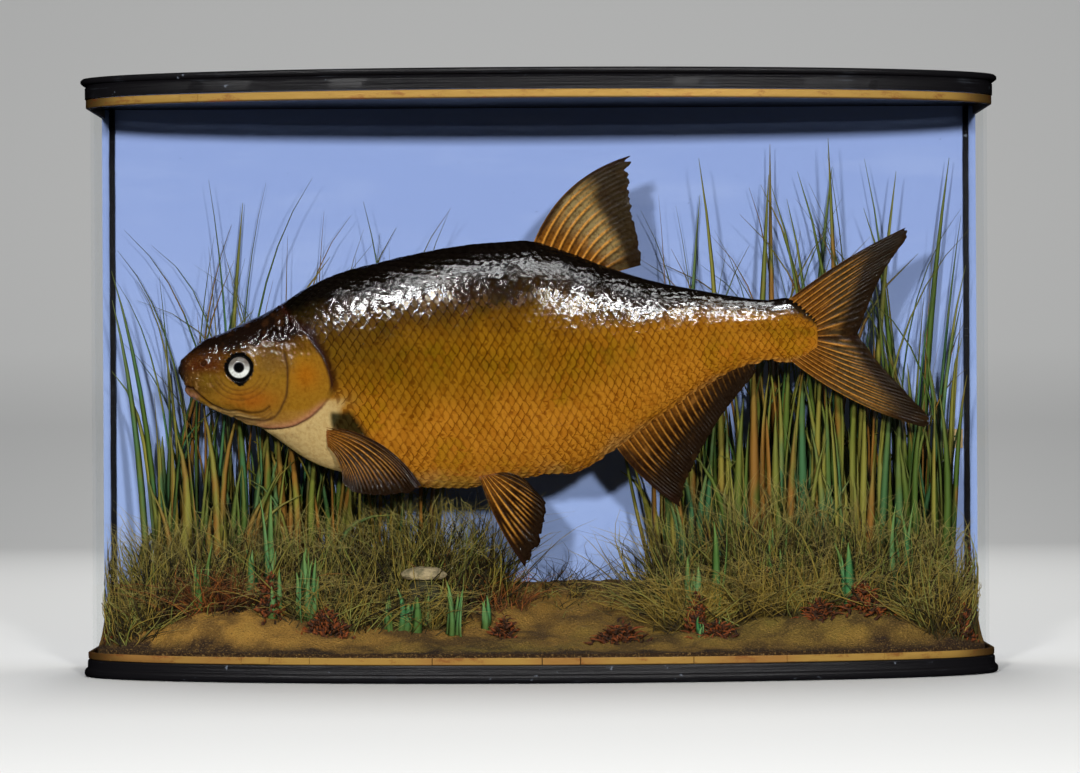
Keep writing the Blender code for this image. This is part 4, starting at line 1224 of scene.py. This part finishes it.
def body_paint(fish, at):
    """The colour of the body at places on its side."""
    along, up = at.along, at.up
    top, bottom, _ = (values.reshape(along.shape) for values in body_size(along.ravel()))
    patchy, blotch = at.mottle(31, 22, 3), at.mottle(41, 9, 2)
    high = (up - bottom) / (top - bottom) + 0.05 * patchy + 0.02 * blotch
    rear = smooth(along, 230, 330)
    rim = 1.6 * patchy + 1.2 * blotch
    patch = smooth(up + rim, -34.5, -38) * smooth(up, -62, -55) * smooth(along + rim, 101, 105)
    patch = patch * smooth(along + rim + 0.65 * (up + 36), 118, 113)
    return laid(
        fish.belly,
        (smooth(high, 0.2, 0.5) * (1 - 0.6 * rear), fish.flank),
        (smooth(along, 205, 95) * smooth(high, 0.32, 0.62), fish.shoulder),
        (smooth(high, 0.58 + 0.06 * rear, 0.82), fish.back),
        (smooth(high, 0.79, 0.92), fish.ridge),
        (smooth(high, 0.07, -0.02) * 0.6, (170, 130, 72)),
        (smooth(blotch, 0.2, 0.8) * smooth(high, 0.7, 0.5) * 0.25, (150, 98, 14)),
        (smooth(blotch, -0.2, -0.8) * ridge(high - 0.5, 0.14) * 0.4, (96, 72, 12)),
        (throat_share(along, up) * smooth(along, 128, 116), fish.throat),
        (spot_at(along, up, (112, -30), (9, 6)) * 0.6, (150, 112, 48)),
        (patch * 0.95, (26, 28, 14)),
    )


def head_paint(fish, at):
    """The colour of the head at places on its side."""
    along, up, near = at.along, at.up, at.near
    patchy, fine = at.mottle(17, 6, 3), at.mottle(23, 1.6, 3)
    plate = smooth(along, 72.5, 76.5) * smooth(up, 16, 6)
    rough = smooth(along, 50, 62) * smooth(along, 84, 72) * smooth(up, -14, -2)
    snout = smooth(along, 36, 20) * smooth(up, -26, -14)
    reddish = smooth(up + 0.1 * along, -8, -1) * smooth(along, 44, 26)
    top = body_size(along.ravel())[0].reshape(along.shape)
    deep = np.interp(along, (5, 18, 28, 42, 60, 84, 110), (2, 7.5, 12, 16.5, 20, 31, 36))
    brown = smooth(top - up + 2.5 * patchy, deep + 14, deep) * smooth(along, 100, 84)
    crown = smooth(top - up + 2.2 * patchy, deep + 5, deep - 5)
    line = up + 0.27 * along
    low_seam = smooth(up, -26, -36) * smooth(along, 48, 60)
    tear = 2.4 * ridge(along - EYE_AT[0] - 1, 5) * smooth(up, -9, -15)
    return laid(
        fish.cheek,
        (spot_at(along, up, (50, -27), (17, 7)) * 0.8, (150, 82, 20)),
        (smooth(patchy, 0.0, 0.8) * 0.4, (98, 74, 22)),
        (plate, fish.gill),
        (plate * spot_at(along, up, (87, -12), (9, 9)) * 0.8, (152, 88, 14)),
        (plate * smooth(up, -2, 8) * 0.7, (92, 60, 16)),
        (rough * 0.75, (104, 74, 34)),
        (rough * smooth(fine, 0.2, 0.7) * 0.45, (140, 112, 60)),
        (snout, fish.snout),
        (spot_at(along, up, (21, -12), (7, 7)) * 0.7, (116, 88, 24)),
        (reddish * 0.8, (74, 30, 11)),
        (snout * smooth(fine, 0.3, 0.7) * 0.6, (150, 112, 66)),
        (brown * 0.75, (70, 40, 14)),
        (crown, fish.crown),
        (crown * smooth(patchy, 0.2, 0.9) * 0.4, (74, 44, 22)),
        (smooth(along, 11, 2) * smooth(up, -15, -9) * 0.9, (24, 16, 12)),
        (smooth(line, -22.5, -24.5) * smooth(along, 8, 20), fish.jaw),
        (smooth(line, -28, -33) * smooth(along, 66, 40) * 0.7, (186, 150, 92)),
        (smooth(along, 44, 62) * smooth(up, -33, -37) * 0.75, (146, 104, 42)),
        (near(LOWER_LIP, 2.6), fish.lip),
        (low_seam * ridge(at.gill, 3.4) * 0.9, (176, 120, 88)),
        # Painted shade in the creases: along the folds, the mouth, the preopercle's groove and the folds round
        # the eye.
        (near(CHEEK_LOW, 0.8) * 0.8, (44, 22, 12)),
        (near(JAW_FOLD, 0.9) * 0.85, (44, 22, 12)),
        (near(MOUTH, 1.2) * 0.95, (44, 22, 12)),
        (near(SECOND_FOLD, 0.7) * 0.7, (44, 22, 12)),
        *((near(fold, 0.55) * 0.55, (84, 50, 26)) for fold in CHEEK_FOLDS),
        (ridge(at.cover, 0.75) * 0.85, (56, 32, 22)),
        *((ridge(at.eye - ring, 0.45) * at.rings * 0.5, (84, 48, 20)) for ring in EYE_RINGS),
        (smooth(at.eye - tear + 0.9 * fine, 10.5, 9.4), (12, 10, 10)),
        # Painted shade in the nostril's pit.
        (smooth(at.nostril, 2.4, 1.2) * 0.6, (22, 12, 8)),
        (smooth(at.gill, 1.6, 0.3) * low_seam * 0.8, (84, 44, 36)),
        (smooth(at.gill, 3.4, 0.8) * smooth(up, -30, -18), fish.seam),
    )


def fish_paint(fish, at):
    """The head's colours in front of the gill seam and the body's behind it."""
    head = smooth(np.where(at.behind > 0, at.gill, -at.gill), 1.6, -0.6)[..., None]
    seam = ridge(at.gill - 1.2, 1.8) * (at.behind > 0) * smooth(at.up, 30, 20) * smooth(at.up, -30, -20)
    return laid(body_paint(fish, at), (seam * 0.8, fish.seam)) * (1 - head) + head_paint(fish, at) * head


def build_skin(fish, look):
    """One skin from the snout to the tail's root."""
    lumps = Lumps(6)
    # The rings stand closer on the head, where the relief is fine.
    places = np.concatenate([np.arange(BODY_START, 12, 0.3), np.arange(12, 106, 0.62),
                             np.linspace(106, BODY_END, 140)])
    body = Body(places, 150, 0.5)
    halves, colours = [], []
    for side in (-1, 1):
        at = Side(body.along, body.up, side, lumps)
        relief = head_relief(at) * smooth(body.along, 150, 112) * smooth(body.along, 0.9, 3.5)
        place = body.grid + body.normal * relief[..., None]
        place[:, [0, -1], 1] = 0
        place[..., 1] *= side
        halves.append(place)
        colours.append(fish_paint(fish, at))
    whole = []
    for left, right in (halves, colours):
        left[:, [0, -1]] = (left[:, [0, -1]] + right[:, [0, -1]]) / 2
        whole.append(np.concatenate([left, right[:, -2:0:-1]], 1))
    rings, tints = whole
    # Close the ends with rings that shrink to a blunt tip.
    for end, reach in ((0, -0.7), (-1, 1.6)):
        middle, edge = rings[end].mean(0), rings[end]
        caps = []
        for turn in np.radians((25, 50, 70, 82)):
            caps.append(middle + (edge - middle) * math.cos(turn) + (reach * math.sin(turn), 0, 0))
        caps, extra = np.array(caps), np.repeat(tints[[end]], 4, 0)
        if end == 0:
            rings, tints = np.concatenate([caps[::-1], rings]), np.concatenate([extra, tints])
        else:
            rings, tints = np.concatenate([rings, caps]), np.concatenate([tints, extra])
    made = loft("fish_skin", in_case(rings), look, 80)
    paint(made, tints.reshape(-1, 3))
    unwrap(made, *rings.shape[:2])
    return body, made


def unwrap(made, rows, around):
    """Lays the skin out flat: from snout to tail across, and round the girth upwards."""
    layer = made.data.uv_layers.new(name="OFBake")
    corner = np.zeros(len(made.data.loops), int)
    made.data.loops.foreach_get("vertex_index", corner)
    row, column = corner // around, corner % around
    starts = np.array([p.loop_start for p in made.data.polygons])
    counts = np.array([p.loop_total for p in made.data.polygons])
    owner = np.repeat(np.arange(len(starts)), counts)
    widest = np.maximum.reduceat(column, starts)[owner]
    column = np.where((column == 0) & (widest == around - 1) & (counts[owner] == 4), around, column)
    spots = np.stack([0.01 + 0.98 * row / rows, 0.01 + 0.98 * column / around], 1)
    layer.data.foreach_set("uv", spots.astype(np.float32).ravel())


# ---- the scales ----
def scale_tree():
    """Geometry nodes that lay one scale on each point, and give it its patch of the unwrap."""
    tree = Growth("scales", Length="Float", Wide="Float", Rise="Float", Skirt="Float", Patch="Float",
                  Upwards="Float", Skin="Object")
    make, named, store, get, maths = tree.make, tree.named, tree.store, tree.get, tree.math
    plate = make("MeshGrid", Size_X=1, Size_Y=1, Vertices_X=5, Vertices_Y=7)
    plate = store(plate, "local", make("InputPosition"), "FLOAT_VECTOR")
    x, y, _ = tree.parts(named("local"))
    step = (x + 0.5) * 4
    t = maths("MINIMUM", step / 3, 1.0) ** 0.85
    side = y * 2
    free = 1 - maths("ABSOLUTE", side) ** 2.0
    front = get["Length"] * 0.6
    long = (free * get["Length"] * 0.34 + front) * t - front
    wide = side * get["Wide"] * (t * 0.25 + 0.75)
    down = maths("MAXIMUM", step - 3, 0.0) * get["Skirt"]
    high = get["Rise"] * (t * 1.18 - 0.18) - down - side * side * get["Rise"] * 0.25
    plate = make("SetPosition", Geometry=plate,
                 Position=tree.node("ShaderNodeCombineXYZ", {0: long, 1: wide, 2: high}))
    # Shifted so that the free edge's dark line is stronger on the scale's lower half: painted shade.
    plate = store(plate, "edge", t - (side * get["Upwards"] + 1) * 0.02)
    turn = tree.node("FunctionNodeEulerToRotation", {0: named("turn")})
    laid_out = tree.realize(make("InstanceOnPoints", Points=get["Points"], Instance=plate, Rotation=turn,
                                 Scale=named("size")))
    laid_out = store(laid_out, "OFBake", named("spot") + named("local") * get["Patch"], "FLOAT2", "CORNER")
    skin = make("ObjectInfo", "Geometry", Object=get["Skin"])
    under = make("SampleNearestSurface", Mesh=skin, Value=named("paint", "FLOAT_COLOR"),
                 mode={"data_type": "FLOAT_COLOR"})
    laid_out = store(laid_out, "paint", under, "FLOAT_COLOR")
    laid_out = tree.node("GeometryNodeSetShadeSmooth", {0: laid_out, "Shade Smooth": True})
    rim = maths("LESS_THAN", maths("ABSOLUTE", tree.parts(named("local"))[0] - 0.25), 0.01)
    laid_out = tree.node("GeometryNodeSetShadeSmooth", {0: laid_out, "Selection": rim, "Shade Smooth": False},
                         domain="EDGE")
    return tree.finish(laid_out)


def scale_roots(fish, body):
    """Where the scales of one side root: along, and down as a share of the girth."""
    centre = smooth_path(LATERAL_LINE, 200)
    steps, share = np.linspace(56, 427, 800), np.linspace(0, 1, 300)
    pitch = fish.pitch / MM * np.interp(steps, *SCALE_SIZES)
    phase = np.concatenate([[0], np.cumsum(np.diff(steps) / pitch[1:])])
    found = []
    for row in range(-SCALE_ROWS, SCALE_ROWS + 1):
        count = np.arange(0, phase[-1], 1.0) + (0.5 if row % 2 else 0.0)
        along = np.interp(count, phase, steps)
        girth = np.interp(along, body.places, body.girth)
        gap = fish.row_gap / MM * np.interp(along, *ROW_GAPS)
        level = np.interp(along, centre[:, 0], centre[:, 1])
        middle = np.array([np.interp(-u, -body.read(body.up, np.full(300, a), share), share)
                           for a, u in zip(along, level)]) * girth
        down = (middle + row * gap) / girth
        along = along + 0.07 * row * gap
        keep = (down > 2.4 / girth) & (down < 1 - 1.2 / girth) & (along < 425.5)
        found.append(np.stack([along[keep], down[keep], np.full(keep.sum(), row % 2), gap[keep]], 1))
    found = np.concatenate(found)
    up = body.read(body.up, found[:, 0], found[:, 1])
    gill, way = path_distance(found[:, 0], up, GILL_EDGE, 60)
    return found[(way > 0) & (gill > 3.2) & (throat_share(found[:, 0] - 4, up) < 0.5)]


def build_scales(name, side, fish, body, skin, tree, look):
    """The scales of one side, in rows that follow the lateral line."""
    draw = np.random.RandomState(SEED + side)
    along, down, odd, gap = scale_roots(fish, body).T
    count = len(along)
    girth = np.interp(along, body.places, body.girth)
    along = along + draw.normal(0, 0.2, count)
    down = down + draw.normal(0, 0.12, count) / girth
    tilt = draw.normal(0, 0.014, (count, 2))
    spot, normal = body.read(body.grid, along, down), body.read(body.normal, along, down)
    ahead = body.read(body.grid, along + 1.0, down) - body.read(body.grid, along - 1.0, down)
    for values in (spot, normal, ahead):
        values[:, 1] *= side
    ahead = unit(ahead - normal * np.sum(ahead * normal, 1, keepdims=True))
    normal = unit(normal + ahead * tilt[:, :1] + np.cross(normal, ahead) * tilt[:, 1:])
    across = unit(np.cross(normal, ahead))
    place = np.array(FISH_PLACE.to_3x3())
    turns = [Matrix((place @ np.stack(axes, 1)).tolist()).to_euler()
             for axes in zip(np.cross(across, normal), across, normal)]
    pitch = np.interp(along, *SCALE_SIZES)
    small = 1 - 0.06 * odd + draw.normal(0, 0.03, count)
    rise = 0.2 + 0.8 * smooth(down * girth, 4, 40)
    narrow = 0.35 + 0.65 * smooth(down * girth, 1, 9)
    sizes = np.stack([pitch * small, gap / (fish.row_gap / MM) * small * narrow, (1 - 0.15 * odd) * rise], 1)
    row = np.interp(along, body.places, np.arange(len(body.places))) + 4
    share = down / 2 if side < 0 else 1 - down / 2
    bake = np.stack([0.01 + 0.98 * row / (len(body.places) + 8), 0.01 + 0.98 * share, share * 0], 1)
    points = point_mesh(name + "_points", in_case(spot), turn=turns, size=sizes, spot=bake,
                        tint=draw.uniform(0, 1, count))
    return grown(name, points, tree, ("turn", "size", "spot", "local"), Length=fish.scale_long,
                 Wide=fish.scale_half, Rise=fish.scale_rise, Skirt=SCALE_SKIRT, Patch=SCALE_BAKE,
                 Upwards=float(-side), Skin=skin, Material=look)


# ---- fins ----
def build_fin(fin, fish, look, side=0):
    """A fin with a raised ray under each fold of its web, ragged at its edge."""
    lumps = Lumps(8)
    across, reach = fin.rays * 12 + 1, 44
    roots, tips = smooth_path(fin.root, across), smooth_path(fin.tips, across)
    u = np.linspace(0, 1, across)[:, None]
    s = np.linspace(0, 1, reach)[None, :]
    phase = u * (fin.rays - 1)
    fork = smooth(s, 0.45, 0.75)

    def rays(wide, forked):
        """1 along the rays, which fork on their way out: how wide they are before and after."""
        return (ridge(phase - np.round(phase), wide) * (1 - fork)
                + ridge(2 * phase - np.round(2 * phase), forked) * fork)

    way = tips - roots
    ragged = 0.03 * lumps.at(u * 60, 3 + side, 0, 2.2, 3) - 0.02 * (1 - ridge(phase - np.round(phase), 0.3))
    out = s * (1 + ragged * fin.ragged * smooth(s, 0.6, 1.0))
    lean = unit(np.stack([-way[:, 1], way[:, 0]], 1))
    bow = fin.bow[0] + (fin.bow[1] - fin.bow[0]) * u
    along, up = np.moveaxis(roots[:, None] + way[:, None] * out[..., None]
                            + lean[:, None] * (bow * 4 * out * (1 - out))[..., None], -1, 0)
    plump = fin.edge * 0.5 + (fin.thick - fin.edge) * 0.5 * (1 - s) ** 1.5
    half = (0.22 + plump * (0.35 + 0.65 * rays(0.17, 0.22))) * smooth(s, 1.015, 0.9) + 0.12
    half = half * smooth(np.minimum(u, 1 - u) * (fin.rays - 1), -0.3, 0.3)
    middle = 0.6 * lumps.at(u * 9, s * 3, side, 1.5, 2) * s
    middle = middle + side * (fin.root_out + (fin.tip_out - fin.root_out) * s)
    name = fin.name + {-1: "_left", 0: "", 1: "_right"}[side]
    near, far = (in_case(np.stack([along, middle + way_out * half, up], -1)) for way_out in (-1, 1))
    made = slab("fine_" + name, near, far, look, 60)
    mottle = lumps.at(u * 30, s * 8, side, 2, 3)
    colours = laid(
        fish.web,
        (fin.pale * smooth(s, 0.1, 0.4), (144, 124, 80)),
        (smooth(s, 0.5, 0.0) * 0.6, (132, 80, 24)),
        # A painted shadow beside each ray.
        (ridge(phase - np.round(phase) - 0.24, 0.12) * (1 - fork) * 0.7, (34, 20, 8)),
        (rays(0.11, 0.15) * fin.strong * smooth(s, fin.fade, fin.fade * 0.5), fish.ray),
        (smooth(mottle, 0.4, 0.9) * 0.3, (170, 112, 46)),
        (smooth(s + 0.05 * mottle, fin.dark_tip - 0.12, fin.dark_tip + 0.12) * 0.93, (28, 18, 10)),
        (smooth(u + 0.05 * mottle, fin.dark_rear - 0.1, fin.dark_rear + 0.15) * 0.8, (30, 20, 12)),
        (smooth(u + 0.04 * mottle, fin.lead, fin.lead * 0.3) * 0.8, (34, 20, 12)),
        (smooth(s, 0.05, 0.0) * 0.6, (150, 92, 50)),
    ).reshape(-1, 3)
    paint(made, np.concatenate([colours, colours]))
    return show(made, "fin", name)


def build_eye(side, fish, look):
    """A glass eye: black pupil, pale iris with painted shade of the brow over its upper half, black rim."""
    x, z = EYE_AT
    top, bottom, half = body_size(np.array([float(x)]))[:, 0]
    middle = bottom + WIDEST * (top - bottom)
    share = (z - middle) / ((top - middle) if z > middle else (middle - bottom))
    roundness = BACK_POWER if z > middle else BELLY_POWER
    out = half * math.cos(math.asin(share)) ** roundness + EYE_PROUD - EYE_SIZE[1]
    points, faces = ball(bmesh.ops.create_uvsphere, u_segments=64, v_segments=40)
    a, b, c = points.T
    spots = np.stack([x + a * EYE_SIZE[0], side * (out + c * EYE_SIZE[1]), z + b * EYE_SIZE[2]], 1)
    name = "eye_left" if side < 0 else "eye_right"
    made = mesh_object("glass_" + name, in_case(spots), faces, look, 80)
    far = np.where(c < 0, 2, np.hypot(a, b))
    streak = Lumps(9).at(np.arctan2(b, a) * 14, far * 2, side, 1.0, 2)
    paint(made, laid(
        fish.iris,
        # Painted shade of the brow over the iris's upper half.
        (smooth(b, -0.35, 0.35) * 0.9, (72, 60, 52)),
        (smooth(streak, 0.1, 0.9) * 0.3, (120, 104, 90)),
        (smooth(far, 0.5, 0.42) * 0.5, (190, 188, 184)),
        (smooth(far, 0.42, 0.38), (60, 58, 62)),
        (smooth(far, 0.40, 0.36), (6.6, 6.6, 6.6)),
        (smooth(far, 0.76, 0.82), (13, 13, 13)),
    ))
    return show(made, "eye_glass", name)


# ---- operators ----
class BREAM_OT_case(bpy.types.Operator):
    """Build the boards, the slips, the glass, the back board, its beads and its label"""
    bl_idname = "bream.case"
    bl_label = "Case"

    def execute(self, context):
        case = context.scene.bream_case
        ebony, gilt, iron = ebony_look(case), gilt_look(case), iron_look()
        show(build_moulding("moulded_base", BASE_MOULDING, ebony), "ebonised_wood", "base_board")
        show(build_moulding("moulded_top", TOP_MOULDING, ebony), "ebonised_wood", "top_board")
        low, high = BASE_TOP + GAP, TOP_BOTTOM - GAP
        show(strip("glass_pane", -GLASS, 0, low, high, glass_look(case)), "case_glass", "glass_front")
        show(build_slip("broken_slip", low, BASE_SLIP_TOP, gilt, case.slip_piece, SEED, 1.0), "gilt",
             "gilt_slip_base")
        show(build_slip("top_slip", TOP_SLIP_BOTTOM, high, gilt, 0.3, SEED + 1, 0.3), "gilt", "gilt_slip_top")
        show(build_back_board(board_look(case)), "painted_board", "back_board")
        show(build_label(paper_look(case)), "label_paper", "paper_label")
        for side in ("left", "right"):
            node = "corner_bead_" + side
            show(build_bead("black_bead_" + side, node, ebony), "ebonised_wood", node)
        for node in ("post_1", "post_2"):
            show(build_post(node, iron), "post", node)
        return {"FINISHED"}


class BREAM_OT_ground(bpy.types.Operator):
    """Build the ground, the rock and the stone on it"""
    bl_idname = "bream.ground"
    bl_label = "Ground"

    def execute(self, context):
        ground = context.scene.bream_ground
        show(build_ground(ground, earth_look()), "groundwork", "groundwork")
        x, y, z = ROCK_AT
        top = z + ROCK_SIZE[2] * 0.86
        slate = stone_look("dark_rock", ground.slate, (30, 26, 16))
        show(build_stone("dark_rock", ROCK_SIZE, ROCK_AT, slate, 0.0, ROCK_SPREAD, top), "rock", "rock")
        pale = stone_look("pale_stone", ground.stone, (104, 96, 70))
        place = (x, y, top + GAP / MM + PEBBLE_SIZE[2] * 0.6)
        show(build_stone("pale_stone", PEBBLE_SIZE, place, pale, 0.4), "pebble", "pebble")
        return {"FINISHED"}


class BREAM_OT_plants(bpy.types.Operator):
    """Grow the reeds, the grass, the short blades, the stems and the moss"""
    bl_idname = "bream.plants"
    bl_label = "Plants"

    def execute(self, context):
        ground = context.scene.bream_ground
        tree = blade_tree()
        nodes = {"reeds": [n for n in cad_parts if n.startswith("reed_")],
                 "grass": [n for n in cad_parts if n.startswith("tussock_")]}
        blades = {look: [] for look in PLANTS}
        for reed in reed_blades(ground.growth):
            blades["sedge" if reed.width > SEDGE_WIDE * MM else "reeds"].append(reed)
        for order, patch in enumerate(PATCHES):
            blades[patch.look] += patch_blades(patch, order, ground.growth)
        for look, plant in PLANTS.items():
            material = plant_look(look, plant, ground)
            slot = "reed" if look in ("reeds", "sedge") else "grass"
            for start in range(0, len(blades[look]), MOST_BLADES):
                name = look if not start else "%s_%d" % (look, start // MOST_BLADES + 1)
                made = grow_blades(name, blades[look][start:start + MOST_BLADES], tree, material, plant)
                show(made, slot, *(nodes.get(look, []) if not start else []))
        return {"FINISHED"}


class BREAM_OT_fish(bpy.types.Operator):
    """Build the fish's skin, its scales, its fins and its glass eyes"""
    bl_idname = "bream.fish"
    bl_label = "Fish"

    def execute(self, context):
        fish = context.scene.bream_fish
        body, skin = build_skin(fish, skin_look(fish))
        show(skin, "skin", "head", "lower_jaw", "gill_cover_left", "gill_cover_right", "trunk", "tail_stalk")
        tree, look = scale_tree(), scale_look(fish)
        for side, name in ((-1, "scales_left"), (1, "scales_right")):
            show(build_scales(name, side, fish, body, skin, tree, look), "skin")
        fins, glass = fin_look(), eye_look()
        for fin in FINS:
            build_fin(fin, fish, fins)
        for side in (-1, 1):
            for fin in PAIRED_FINS:
                build_fin(fin, fish, fins, side)
            build_eye(side, fish, glass)
        return {"FINISHED"}


class BREAM_OT_stage(bpy.types.Operator):
    """Set up the floor, the wall behind, the lamps and the camera"""
    bl_idname = "bream.stage"
    bl_label = "Stage"

    def execute(self, context):
        stage = context.scene.bream_stage
        scene = context.scene
        floor = Look("floor", base_color=stage.floor, roughness=0.9).material
        profile = [(-FLOOR_HALF, 0.0), (FLOOR_BACK, 0.0)]
        profile += [(FLOOR_BACK + FLOOR_BEND * math.sin(a), FLOOR_BEND - FLOOR_BEND * math.cos(a))
                    for a in np.linspace(0.1, 1.57, 14)]
        profile.append((FLOOR_BACK + FLOOR_BEND, WALL_TOP))
        rows = np.array([[(x, y, z - 0.5 * MM) for x in (-FLOOR_HALF, FLOOR_HALF)] for y, z in profile])
        sweep = mesh_object("sweep", rows.reshape(-1, 3), grid_faces(len(rows), 2), floor, outwards=False)
        sweep.visible_glossy = sweep.visible_diffuse = False
        world = bpy.data.worlds.new("room")
        world.use_nodes = True
        back = world.node_tree.nodes["Background"]
        back.inputs["Color"].default_value = (*linear(214, 220, 228), 1)
        back.inputs["Strength"].default_value = stage.sky
        world.cycles_visibility.glossy = False
        scene.world = world
        target = Vector(LAMPS_AIM)
        # Each lamp's place is a turn round the case, a rise above its middle and how far off it is.
        for name, turn, rise, far, wide, tall, watts in (
            ("front_left", -10, 9.5, 2.6, 0.12, 0.12, stage.front_power),
            ("front_right", 10, 9.5, 2.6, 0.12, 0.12, stage.front_power),
            ("left_strip", -22, 34, 2.2, 0.4, 0.13, stage.low_power),
            ("right_strip", 18, 27, 2.2, 0.5, 0.13, stage.low_power),
            ("top_strip", 0, 50, 1.8, 1.2, 0.25, stage.top_power),
            ("overhead", 180, 80, 2.3, 1.6, 1.6, stage.over_power),
            ("behind", 180, 32, 2.2, 0.6, 0.6, stage.over_power * 0.3),
        ):
            lamp = bpy.data.lights.new(name, "AREA")
            lamp.shape, lamp.size, lamp.size_y, lamp.energy = "RECTANGLE", wide, tall, watts
            made = link(name, lamp)
            a, e = math.radians(turn), math.radians(rise)
            made.location = target + far * Vector((math.sin(a) * math.cos(e), -math.cos(a) * math.cos(e),
                                                   math.sin(e)))
            made.rotation_euler = (target - made.location).to_track_quat("-Z", "Y").to_euler()
            made.visible_glossy = name.endswith("strip")
            made.visible_diffuse = not made.visible_glossy
        camera = bpy.data.cameras.new("camera")
        camera.lens, camera.sensor_width = stage.lens, 36
        camera.clip_start, camera.clip_end = 0.05, 60
        scene.camera = link("camera", camera)
        scene.camera.location = CAMERA_AT
        scene.camera.rotation_euler = (math.radians(90), CAMERA_ROLL, 0)
        scene.view_settings.view_transform = "Standard"
        return {"FINISHED"}


OPERATORS = (BREAM_OT_case, BREAM_OT_ground, BREAM_OT_plants, BREAM_OT_fish, BREAM_OT_stage)
GROUPS = {"bream_case": BreamCase, "bream_ground": BreamGround, "bream_fish": BreamFish,
          "bream_stage": BreamStage}


class BREAM_PT_panel(bpy.types.Panel):
    """The pieces and their settings"""
    bl_label = "Cased bream"
    bl_space_type = "VIEW_3D"
    bl_region_type = "UI"
    bl_category = "Bream"

    def draw(self, context):
        for operator in OPERATORS:
            self.layout.operator(operator.bl_idname)
        for name, group in GROUPS.items():
            box = self.layout.box()
            for key in group.__annotations__:
                box.prop(getattr(context.scene, name), key, text=key.replace("_", " ").capitalize())


CLASSES = (*GROUPS.values(), *OPERATORS, BREAM_PT_panel)


def register():
    for made in CLASSES:
        bpy.utils.register_class(made)
    for name, group in GROUPS.items():
        setattr(bpy.types.Scene, name, PointerProperty(type=group))


def unregister():
    for name in GROUPS:
        delattr(bpy.types.Scene, name)
    for made in reversed(CLASSES):
        bpy.utils.unregister_class(made)


def main():
    register()
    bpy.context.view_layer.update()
    for operator in OPERATORS:
        group, name = operator.bl_idname.split(".")
        getattr(getattr(bpy.ops, group), name)()


if __name__ == "__main__":
    main()
